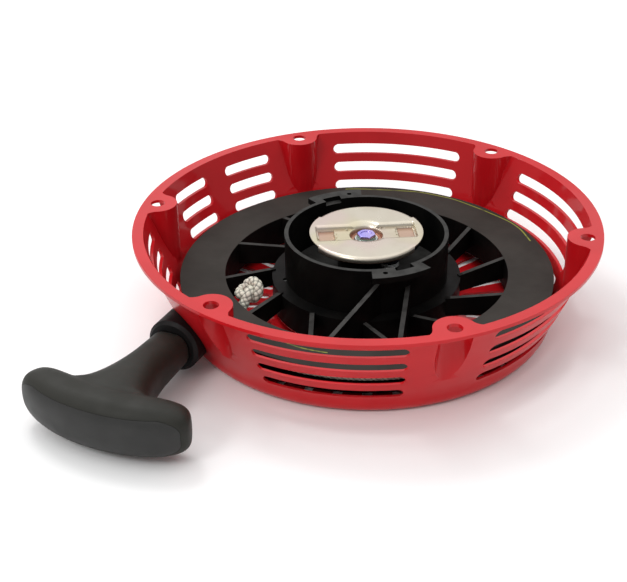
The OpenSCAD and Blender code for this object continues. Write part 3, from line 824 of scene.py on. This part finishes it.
def rounded_route(points: np.ndarray, rounds: int = 3) -> np.ndarray:
    """Cuts the corners of a route: each stretch keeps its points at a quarter and three quarters.

    Args:
        points: points of the route.
        rounds: how often the corners are cut.

    Returns:
        The smoother route, with the same ends.
    """
    for _ in range(rounds):
        near = 0.75 * points[:-1] + 0.25 * points[1:]
        far = 0.25 * points[:-1] + 0.75 * points[1:]
        points = np.concatenate([points[:1], np.stack([near, far], axis=1).reshape(-1, 3), points[-1:]])
    return points


# ---------------------------------------------------------------- sub-assemblies


@dataclass
class HousingBowl:
    """The pressed and painted bowl, its centre post and its rope outlet."""

    finishes: Finishes
    bowl_edge_mm: float = 0.4
    collar_edge_mm: float = 0.5
    bolt_edge_mm: float = 0.25

    def build(self) -> None:
        """Builds the bowl, the collar and the bolt, and dresses the post, ferrule, washers and spring."""
        look = self.finishes
        rounded_copy("housing", "pressed_bowl", Body.ROOT, look.red_paint, self.bowl_edge_mm, 50.0)
        rounded_copy("outlet_collar", "rubber_collar", Body.ROOT, look.collar_rubber, self.collar_edge_mm)
        for node in ("center_post", "rope_ferrule", "thrust_washer", "friction_spring", "bolt_washer"):
            dress_node(node, look.bright_steel)
        rounded_copy("center_bolt", "hex_bolt", Body.ROOT, look.blue_zinc, self.bolt_edge_mm)


@dataclass
class RopeReel:
    """The moulded reel with what it carries."""

    finishes: Finishes
    rope: BraidedCord = field(default_factory=lambda: BraidedCord(sides=16, step=1.0 * MM))
    groove_floor: float = 73.0 * MM
    layers: int = 2
    turns_per_layer: int = 2
    points_per_turn: int = 360
    lay_gap: float = 0.1 * MM
    level_share: float = 0.9
    lay_levels: tuple[float, float] = (-31.6 * MM, -36.9 * MM)
    first_angle: float = 230.0
    hole_angle: float = -143.0
    hole_level: float = -34.0 * MM
    hole_outer: float = 73.0 * MM
    hole_inner: float = 68.0 * MM
    knot_cord: float = 5.0 * MM
    knot_step: float = 0.3 * MM
    knot_tails: tuple[float, float] = (1.0 * MM, 4.5 * MM)
    knot_sideways: Place = (0.75, -0.66, 0.35)
    knot_centre: Place = (-52.0 * MM, -32.0 * MM, -27.8 * MM)
    knot_unit: float = 2.1 * MM

    def knot_route(self) -> np.ndarray:
        """Route of the rope's end: out of the groove through its hole, then up into an overhand knot.

        The knot's first tail is left out but for its last point, because the rope comes from the hole.

        Returns:
            Points of the route.
        """
        level = np.array([0.0, 0.0, self.hole_level])
        centre = np.array(self.knot_centre)
        hole = plan_direction(self.hole_angle) * self.hole_inner + level
        sideways = np.array(self.knot_sideways)
        knot = overhand_knot(centre, hole - centre, sideways, self.knot_unit, self.knot_tails)
        start = plan_direction(self.hole_angle) * self.hole_outer + level
        tail_points = 10
        return rounded_route(np.concatenate([[start, hole], knot[tail_points:]]))

    def winding(self) -> bpy.types.Object:
        """Rope wound on the groove, as one spiral that steps down, then out, then up.

        Each layer's radius is the groove's floor plus an odd number of rope radii. Within a turn the rope
        stays level for most of the way and steps across to the next turn in the last tenth.

        Returns:
            The wound rope.
        """
        turns = self.layers * self.turns_per_layer
        t = np.linspace(0.0, turns, turns * self.points_per_turn + 1)
        radii = np.array([self.groove_floor + self.rope.diameter * (layer + 0.5) + self.lay_gap
                          for layer in range(self.layers) for _ in range(self.turns_per_layer)])
        levels = np.array([self.lay_levels[(k + k // 2) % 2] for k in range(turns)])
        index = np.minimum(np.floor(t).astype(int), turns - 1)
        after = np.minimum(index + 1, turns - 1)
        step = smooth_step(t - index, self.level_share, 1.0)
        radius = radii[index] * (1.0 - step) + radii[after] * step
        level = levels[index] * (1.0 - step) + levels[after] * step
        angle = np.radians(self.first_angle) + 2.0 * np.pi * t
        route = np.stack([radius * np.cos(angle), radius * np.sin(angle), level], axis=1)
        return self.rope.sweep("wound_rope", route)

    def build(self) -> None:
        """Builds the reel's rope and knot, and dresses the reel, its bearing and the spring."""
        look = self.finishes
        dress_node("reel", look.black_nylon)
        finish_piece(self.winding(), Body.REEL, look.rope_fibre, "rope_coil")
        cord = BraidedCord(diameter=self.knot_cord, sides=36, step=self.knot_step)
        knot = cord.sweep("rope_end_knot", self.knot_route())
        finish_piece(knot, Body.REEL, look.rope_fibre, "anchor_knot")
        dress_node("reel_bushing", look.oilite_bronze)
        for node in ("cover_screws", "recoil_spring"):
            dress_node(node, look.dark_steel)
        for node in ("spring_cover", "spring_stud", "pawl_pins", "pawl_spring_a", "pawl_spring_b"):
            dress_node(node, look.bright_steel)


def rolled_edge(value: np.ndarray, low: float, high: float) -> np.ndarray:
    """Rises from 0 at low to 1 at high along a quarter circle that is level at low and upright at high."""
    share = np.clip((value - low) / (high - low), 0.0, 1.0)
    return 1.0 - np.sqrt(1.0 - share * share)


def snapped(value: np.ndarray, lines: tuple[float, ...], reach: float) -> np.ndarray:
    """Moves coordinates that lie near a line, or near its mirror image, onto it.

    Args:
        value: the coordinates.
        lines: where the lines lie.
        reach: the distance from which coordinates are moved.

    Returns:
        The coordinates, with those near a line on it.
    """
    for line in lines:
        value = np.where(np.abs(np.abs(value) - line) < reach, np.copysign(line, value), value)
    return value


@dataclass
class PawlDrive:
    """The pressed guide plate and the two pawls under it; the plate's sizes are in millimetres."""

    finishes: Finishes
    plate_radius: float = 28.0
    plate_top: float = -6.2
    sheet: float = 0.85
    channel_angle: float = 16.0
    channel_half_width: float = 6.6
    channel_half_length: float = 24.0
    channel_depth: float = 2.0
    press_round: float = 2.1
    dish_floor_radius: float = 7.6
    dish_rim_radius: float = 12.0
    dish_depth: float = 4.3
    shaft_hole: float = 5.9
    pocket_middle: float = 19.5
    pocket_half_length: float = 4.2
    pocket_half_width: float = 6.2
    pocket_depth: float = 2.75
    lip_height: float = 3.0
    bend_radius: float = 1.8
    lip_spans: tuple[tuple[float, float], ...] = ((-137.0, -24.0), (43.0, 156.0))
    lip_end: float = 1.5
    rim_gap: float = 0.15
    channel_end_wall: float = 0.8
    pocket_wall: float = 0.5
    snap_reach: float = 0.17
    snap_margin: float = 0.3
    pawl_edge_mm: float = 0.3
    rings: int = 96
    spokes: int = 400
    bend_rings: int = 6
    drop_rings: int = 3

    def in_channel(self, x: np.ndarray, y: np.ndarray) -> tuple[np.ndarray, np.ndarray]:
        """Turns places on the plate into distances along and across the channel."""
        c, s = math.cos(math.radians(self.channel_angle)), math.sin(math.radians(self.channel_angle))
        return c * x + s * y, c * y - s * x

    def on_edges(self, x: np.ndarray, y: np.ndarray) -> tuple[np.ndarray, np.ndarray]:
        """Moves places that lie near the feet of the pressed walls onto them, so that these run straight.

        Args:
            x: places across the plate.
            y: places along the plate.

        Returns:
            The places, with those near a wall's foot on it.
        """
        c, s = math.cos(math.radians(self.channel_angle)), math.sin(math.radians(self.channel_angle))
        along, across = self.in_channel(x, y)
        pocket_end = self.pocket_middle - self.pocket_half_length
        side_feet = (self.channel_half_width, self.pocket_half_width - self.pocket_wall)
        end_feet = (self.channel_half_length, pocket_end, pocket_end + self.pocket_wall)
        within = np.abs(along) < self.channel_half_length + self.snap_margin
        across = np.where(within, snapped(across, side_feet, self.snap_reach), across)
        near = np.abs(across) < self.channel_half_width + self.snap_margin
        along = np.where(near, snapped(along, end_feet, self.snap_reach), along)
        return c * along - s * across, s * along + c * across

    def pressed_depth(self, x: np.ndarray, y: np.ndarray) -> np.ndarray:
        """Depth of the pressing below the plate's face.

        The channel, the dish and the two pockets each sink to a level floor with rounded shoulders, and
        the deepest of them counts.

        Args:
            x: places across the plate.
            y: places along the plate.

        Returns:
            The depth at each place.
        """
        along, across = (np.abs(value) for value in self.in_channel(x, y))
        half_width, half_length = self.channel_half_width, self.channel_half_length
        channel = (self.channel_depth * rolled_edge(across, half_width + self.press_round, half_width)
                   * rolled_edge(along, half_length + self.channel_end_wall, half_length))
        dish = self.dish_depth * rolled_edge(np.hypot(x, y), self.dish_rim_radius, self.dish_floor_radius)
        pocket_length, pocket_width, wall = self.pocket_half_length, self.pocket_half_width, self.pocket_wall
        pocket = (self.pocket_depth * smooth_step(across, pocket_width, pocket_width - wall)
                  * smooth_step(np.abs(along - self.pocket_middle), pocket_length, pocket_length - wall))
        return np.maximum(np.maximum(channel, dish), pocket)

    def plate_surface(self) -> bpy.types.Object:
        """The plate's upper face: rings from the shaft's hole to the rim, then round the bend and down the lip.

        Inside the rim a point's height is the pressing's. Past it, where a lip is, the rings follow a
        quarter circle and a straight drop; elsewhere they end level at the rim.

        Returns:
            The face, as an open surface.
        """
        turn = np.linspace(0.0, 2.0 * np.pi, self.spokes, endpoint=False)
        degrees = np.degrees(turn)
        lip = np.zeros_like(turn)
        for start, end in self.lip_spans:
            half, off = (end - start) / 2.0, np.abs((degrees - (start + end) / 2.0 + 180.0) % 360.0 - 180.0)
            lip = np.maximum(lip, smooth_step(off, half, half - self.lip_end))
        rim, curve = self.plate_radius - self.bend_radius, self.bend_radius
        inner = np.linspace(self.shaft_hole, rim, self.rings)
        bend = np.linspace(0.0, np.pi / 2.0, self.bend_rings + 1)[1:]
        drop = np.linspace(0.0, self.lip_height - curve, self.drop_rings + 1)[1:]
        lip_radius = np.concatenate([rim + curve * np.sin(bend), np.full(self.drop_rings, self.plate_radius)])
        lip_level = np.concatenate([-curve * (1.0 - np.cos(bend)), -curve - drop])
        outer_rings = self.bend_rings + self.drop_rings
        level_radius = np.linspace(rim, self.plate_radius - self.rim_gap, outer_rings + 1)[1:]
        radius = np.concatenate([np.broadcast_to(inner[:, None], (self.rings, self.spokes)),
                                 lip_radius[:, None] * lip + level_radius[:, None] * (1.0 - lip)])
        x, y = self.on_edges(radius * np.cos(turn), radius * np.sin(turn))
        fall = np.concatenate([np.zeros((self.rings, self.spokes)), lip_level[:, None] * lip])
        z = self.plate_top + fall - self.pressed_depth(x, y)
        upward_quads = ring_quads(len(radius), self.spokes)[:, [0, 3, 2, 1]]
        return mesh_piece("pressed_guide_plate", np.stack([x, y, z], axis=-1).reshape(-1, 3) * MM, upward_quads)

    def build(self) -> None:
        """Builds the guide plate and the pawls."""
        plate = self.plate_surface()
        wall = plate.modifiers.new("sheet", "SOLIDIFY")
        wall.thickness = self.sheet * MM
        wall.offset = -1.0
        soften(plate, 50.0)
        finish_piece(plate, Body.GUIDE, self.finishes.yellow_zinc, "guide_plate")
        for node, body in (("pawl_a", Body.PAWL_LEFT), ("pawl_b", Body.PAWL_RIGHT)):
            rounded_copy(node, node + "_dog", body, self.finishes.dark_steel, self.pawl_edge_mm)


@dataclass
class PullRope:
    """Rope from the winding through the outlet into the grip, with the grip's knot."""

    finishes: Finishes
    wall_radius: float = 96.642 * MM
    outlet_angle: float = 220.0
    pull_angle: float = 256.0
    level: float = -34.0 * MM
    lay_radius: float = 80.5 * MM
    bend_back: float = 7.5 * MM
    bend_radius: float = 8.0 * MM
    arc_points: int = 9
    clear_of_winding: float = 30.0 * MM
    grip_reach: float = 75.5 * MM
    end_before_grip: float = 4.0 * MM
    stretch_before_grip: float = 8.0 * MM
    knot_past_grip: float = 1.3 * MM
    knot_cord: float = 4.0 * MM
    knot_unit: float = 1.15 * MM
    knot_tail: float = 0.5 * MM

    @property
    def outlet(self) -> np.ndarray:
        """Where the rope passes the bowl's wall."""
        return plan_direction(self.outlet_angle) * self.wall_radius + np.array([0.0, 0.0, self.level])

    def lead_route(self) -> np.ndarray:
        """Straight run from the reel's tangent, a round bend before the ferrule, and the straight pull.

        The run leaves the winding along its tangent and turns into the pull on an arc that touches both.

        Returns:
            Points of the route.
        """
        pull = plan_direction(self.pull_angle)
        bend = self.outlet - self.bend_back * pull
        out = math.hypot(bend[0], bend[1])
        heading = math.degrees(math.atan2(bend[1], bend[0]) + math.asin(self.lay_radius / out)) + 360.0
        turn = heading - self.pull_angle
        tangent = self.bend_radius * math.tan(math.radians(turn / 2.0))
        middle = bend - tangent * plan_direction(heading) + self.bend_radius * plan_direction(heading - 90.0)
        run = math.sqrt(out * out - self.lay_radius ** 2)
        start = bend - (run - self.clear_of_winding) * plan_direction(heading)
        arc = np.array([middle + self.bend_radius * plan_direction(a + 90.0)
                        for a in np.linspace(heading, self.pull_angle, self.arc_points)])
        end = self.outlet + (self.grip_reach - self.end_before_grip) * pull
        return np.concatenate([[start], arc, [end]])

    def build(self) -> None:
        """Builds the lead and the grip's knot."""
        pull = plan_direction(self.pull_angle)
        lead = BraidedCord(sides=28, step=0.5 * MM).sweep("pull_rope", self.lead_route())
        lead.data.materials.append(self.finishes.rope_fibre)
        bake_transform(lead)
        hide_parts("rope_lead")
        LOG.info("%s bends between root and grip", lead.name)
        route = overhand_knot(self.outlet + (self.grip_reach + self.knot_past_grip) * pull,
                              np.array([0.0, 0.0, 1.0]), np.cross(pull, [0.0, 0.0, 1.0]), self.knot_unit,
                              (self.knot_tail, self.knot_tail))
        knot = BraidedCord(diameter=self.knot_cord, sides=28).sweep("grip_stop_knot", route)
        finish_piece(knot, Body.GRIP, self.finishes.rope_fibre, "grip_knot")


@dataclass
class PullGrip:
    """The moulded T-grip with its cap panel, in millimetres along the pull from the rope's outlet."""

    finishes: Finishes
    rope: PullRope
    reach: float = 75.5
    width: float = 80.4
    half_depth: float = 10.8
    half_height: float = 13.4
    bend_radius: float = 90.0
    end_drop: float = 1.2
    stem_start: float = 15.3
    stem_half_width: float = 9.3
    stem_half_height: float = 8.4
    stem_flare: float = 15.0
    bore_radius: float = 2.8
    pocket_radius: float = 7.5
    pocket_depth: float = 6.0
    cap_thickness: float = 3.0
    cap_low: float = -9.0
    cap_high: float = 9.0
    cap_gap: float = 0.15
    cap_end_margin: float = 3.5
    edge_mm: float = 0.35
    bar_power: float = 2.6
    stem_power: float = 2.8
    sides: int = 96
    voxel: float = 0.75
    rounds: int = 10

    def placed(self, local: np.ndarray) -> np.ndarray:
        """Turns places along, across and above the pull into the frame's.

        Args:
            local: N by 3 places in millimetres.

        Returns:
            The places in metres.
        """
        pull = plan_direction(self.rope.pull_angle)
        across = plan_direction(self.rope.pull_angle + 90.0)
        return self.rope.outlet + (local @ np.stack([pull, across, [0.0, 0.0, 1.0]])) * MM

    def section(self, power: float) -> tuple[np.ndarray, np.ndarray]:
        """Outline of a superellipse: the sine and the cosine, each to the power two over its exponent.

        Args:
            power: the superellipse's exponent.

        Returns:
            The outline's two coordinates, from -1 to 1.
        """
        angle = np.linspace(0.0, 2.0 * np.pi, self.sides, endpoint=False)
        c, s = np.cos(angle), np.sin(angle)
        return np.sign(c) * np.abs(c) ** (2.0 / power), np.sign(s) * np.abs(s) ** (2.0 / power)

    def bar(self) -> np.ndarray:
        """Rings of the bar: a superellipse carried along an arc.

        Across the bar its depth falls as the fourth root of one minus the fourth power of the distance
        from the middle, so that the ends are blunt, and its height also drops with the square.

        Returns:
            The rings.
        """
        share = np.sin(np.linspace(-0.497, 0.497, 120) * np.pi)
        turn = np.arcsin(share * self.width / 2.0 / self.bend_radius)
        end = (1.0 - np.abs(share) ** 4) ** 0.25
        depth = self.half_depth * end
        height = (self.half_height - self.end_drop * share ** 2) * end ** 0.8
        outward, upward = self.section(self.bar_power)
        middle = self.reach - self.bend_radius
        x = middle + (self.bend_radius + depth[:, None] * outward) * np.cos(turn)[:, None]
        y = (self.bend_radius + depth[:, None] * outward) * np.sin(turn)[:, None]
        return np.stack([x, y, height[:, None] * upward + 0.0 * x], axis=-1)

    def stem(self) -> np.ndarray:
        """Rings of the stem: a superellipse that widens as a quarter circle where it meets the bar.

        Returns:
            The rings.
        """
        x = np.linspace(self.stem_start, self.reach - 2.0, 70)
        share = np.clip((x - self.stem_start) / (self.reach - self.half_depth - self.stem_start), 0.0, 1.0)
        late = np.clip((share - 0.3) / 0.7, 0.0, 1.0)
        width = self.stem_half_width + self.stem_flare * (1.0 - np.sqrt(1.0 - late ** 2))
        height = self.stem_half_height + (self.half_height * 0.93 - self.stem_half_height) * share
        across, upward = self.section(self.stem_power)
        return np.stack([np.broadcast_to(x[:, None], (len(x), self.sides)), width[:, None] * across,
                         height[:, None] * upward], axis=-1)

    def cap_block(self, gap: float) -> np.ndarray:
        """Rings of the curved block that parts the cap from the body.

        Args:
            gap: how far the block is grown.

        Returns:
            The rings.
        """
        half_width = self.width / 2.0 - self.cap_end_margin
        reach_angle = math.asin(half_width / self.bend_radius) + gap / self.bend_radius
        turn = np.linspace(-reach_angle, reach_angle, 60)
        inner = self.bend_radius + self.half_depth - self.cap_thickness - gap
        outer = inner + self.cap_thickness + 8.0
        low, high = self.cap_low - gap, self.cap_high + gap
        radius = np.array([inner, outer, outer, inner])
        level = np.array([low, low, high, high])
        middle = self.reach - self.bend_radius
        return np.stack([middle + radius * np.cos(turn)[:, None], radius * np.sin(turn)[:, None],
                         level + 0.0 * turn[:, None]], axis=-1)

    def tube(self, start: float, end: float, radius: float) -> np.ndarray:
        """Rings of a round bar along the pull.

        Args:
            start: where it starts along the pull.
            end: where it ends.
            radius: its radius.

        Returns:
            The rings.
        """
        t = np.linspace(0.0, 2.0 * np.pi, 40, endpoint=False)
        return np.stack([np.stack([np.full(40, x), radius * np.cos(t), radius * np.sin(t)], axis=-1)
                         for x in (start, end)])

    def solid(self, name: str, *surfaces: np.ndarray) -> bpy.types.Object:
        """One object from closed ring surfaces, with its faces pointing outwards.

        Args:
            name: name of the object.
            surfaces: rings of each surface, in millimetres.

        Returns:
            The object.
        """
        points, faces, base = [], [], 0
        for rings in surfaces:
            place, corners = closed_rings(rings)
            points.append(place)
            faces += [tuple(c + base for c in corner) for corner in corners]
            base += len(place)
        piece = mesh_piece(name, self.placed(np.concatenate(points)), faces)
        outward_faces(piece)
        return piece

    def shape(self, name: str) -> bpy.types.Object:
        """The bar and stem melted into one smooth moulding.

        Args:
            name: name of the moulding.

        Returns:
            The moulding.
        """
        piece = self.solid(name, self.bar(), self.stem())
        melt = piece.modifiers.new("melt", "REMESH")
        melt.mode = "VOXEL"
        melt.voxel_size = self.voxel * MM
        even = piece.modifiers.new("even_out", "SMOOTH")
        even.factor = 0.5
        even.iterations = self.rounds
        bake_modifiers(piece)
        return piece

    def cut(self, piece: bpy.types.Object, operation: str, tool: bpy.types.Object) -> None:
        """Cuts a piece with a tool and removes the tool.

        Args:
            piece: the piece.
            operation: DIFFERENCE to cut the tool away, INTERSECT to keep what they share.
            tool: the tool.
        """
        cutter = piece.modifiers.new("cut", "BOOLEAN")
        cutter.operation = operation
        cutter.solver = "EXACT"
        cutter.object = tool
        bake_modifiers(piece)
        bpy.data.objects.remove(tool)

    def build(self) -> None:
        """Builds the body and the cap, and dresses the ferrule."""
        body = self.shape("moulded_grip")
        cap = self.shape("grip_cap_panel")
        self.cut(body, "DIFFERENCE", self.solid("cap_recess", self.cap_block(self.cap_gap)))
        self.cut(body, "DIFFERENCE", self.solid("bore", self.tube(0.0, self.reach - 1.0, self.bore_radius)))
        self.cut(body, "DIFFERENCE", self.solid("pocket", self.tube(
            self.reach - self.pocket_depth, self.reach + 30.0, self.pocket_radius)))
        self.cut(cap, "INTERSECT", self.solid("cap_shape", self.cap_block(0.0)))
        for piece, material, node in ((body, self.finishes.grip_plastic, "grip_body"),
                                      (cap, self.finishes.cap_plastic, "grip_cap")):
            round_edges(piece, self.edge_mm, crease=55.0)
            soften(piece, 50.0)
            finish_piece(piece, Body.GRIP, material, node)
        dress_node("grip_ferrule", self.finishes.bright_steel)


# ---------------------------------------------------------------- studio


@dataclass
class Studio:
    """Camera, pale floor and soft lights."""

    azimuth: float = 12.0
    elevation: float = 30.238
    roll: float = -0.947
    distance: float = 0.564
    target: Place = (-0.0116, -0.07214, 0.0)
    lens_mm: float = 73.42
    floor_level: float = -0.0502
    floor_half: float = 3.0
    world_strength: float = 0.50
    sky_energy: float = 1.75
    sky_spread: float = 110.0
    sky_tilt: tuple[float, float] = (-10.0, -8.0)
    lamp_size: float = 0.3
    lamps: tuple[tuple[str, Place, float], ...] = (
        ("back_lamp", (-0.45, 0.35, 1.0), 2.6), ("front_lamp", (-0.45, -0.75, 0.7), 2.4))

    def aimed(self, name: str, data: bpy.types.ID, right: np.ndarray, back: np.ndarray,
              place: np.ndarray) -> bpy.types.Object:
        """Puts a camera or lamp into the scene, looking away from its back.

        Args:
            name: name of the object.
            data: the camera or lamp.
            right: unit vector to its right.
            back: unit vector behind it.
            place: where it stands.

        Returns:
            The object.
        """
        holder = bpy.data.objects.new(name, data)
        matrix = np.eye(4)
        matrix[:3] = np.stack([right, np.cross(back, right), back, place], axis=1)
        holder.matrix_world = Matrix(matrix.tolist())
        bpy.context.scene.collection.objects.link(holder)
        return holder

    def camera(self) -> None:
        """Camera that looks at the target from an azimuth and an elevation, with a slight roll."""
        a, e, r = (math.radians(v) for v in (self.azimuth, self.elevation, self.roll))
        back = np.array([math.sin(a) * math.cos(e), -math.cos(a) * math.cos(e), math.sin(e)])
        right = np.array([math.cos(a), math.sin(a), 0.0])
        rolled_right = math.cos(r) * right + math.sin(r) * np.cross(back, right)
        data = bpy.data.cameras.new("studio_camera")
        data.lens = self.lens_mm
        data.sensor_width = 36.0
        data.clip_start = 0.01
        place = np.array(self.target) + back * self.distance
        bpy.context.scene.camera = self.aimed("studio_camera", data, rolled_right, back, place)

    def floor(self) -> None:
        """Pale floor just under the bowl."""
        h = self.floor_half
        corners = np.array([[-h, -h, 0.0], [h, -h, 0.0], [h, h, 0.0], [-h, h, 0.0]])
        corners[:, 2] = self.floor_level
        floor = mesh_piece("floor", corners, [(0, 1, 2, 3)])
        floor.data.materials.append(Finish(
            "pale_floor", (0.93, 0.93, 0.93), (0.91, 0.91, 0.91), (0.6, 0.7), cloud_mm=400.0,
            grain_mm=3.0, grain_depth_mm=0.01, specular=0.2).make())

    def lamp(self, name: str, place: Place, power: float) -> None:
        """Square area lamp that faces the part.

        Args:
            name: name of the lamp.
            place: where it hangs.
            power: its power in watts.
        """
        data = bpy.data.lights.new(name, "AREA")
        data.size = self.lamp_size
        data.energy = power
        back = np.array(place) / np.linalg.norm(place)
        right = np.cross([0.0, 0.0, 1.0], back)
        self.aimed(name, data, right / np.linalg.norm(right), back, np.array(place))

    def build(self) -> None:
        """Builds the studio."""
        self.camera()
        self.floor()
        world = bpy.data.worlds.new("studio")
        world.use_nodes = True
        background = world.node_tree.nodes["Background"]
        background.inputs["Color"].default_value = (1.0, 1.0, 1.0, 1.0)
        background.inputs["Strength"].default_value = self.world_strength
        bpy.context.scene.world = world
        sky = bpy.data.lights.new("soft_sky", "SUN")
        sky.energy = self.sky_energy
        sky.angle = math.radians(self.sky_spread)
        sun = bpy.data.objects.new("soft_sky", sky)
        sun.rotation_euler = (math.radians(self.sky_tilt[0]), math.radians(self.sky_tilt[1]), 0.0)
        bpy.context.scene.collection.objects.link(sun)
        for name, place, power in self.lamps:
            self.lamp(name, place, power)
        bpy.context.scene.view_settings.view_transform = "Standard"


def main() -> None:
    """Builds every piece."""
    logging.basicConfig(level=logging.INFO, format="%(name)s: %(message)s")
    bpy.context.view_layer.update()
    Studio().build()
    finishes = Finishes()
    rope = PullRope(finishes)
    for part in (HousingBowl(finishes), RopeReel(finishes), PawlDrive(finishes), rope,
                 PullGrip(finishes, rope)):
        part.build()


if __name__ == "__main__":
    main()
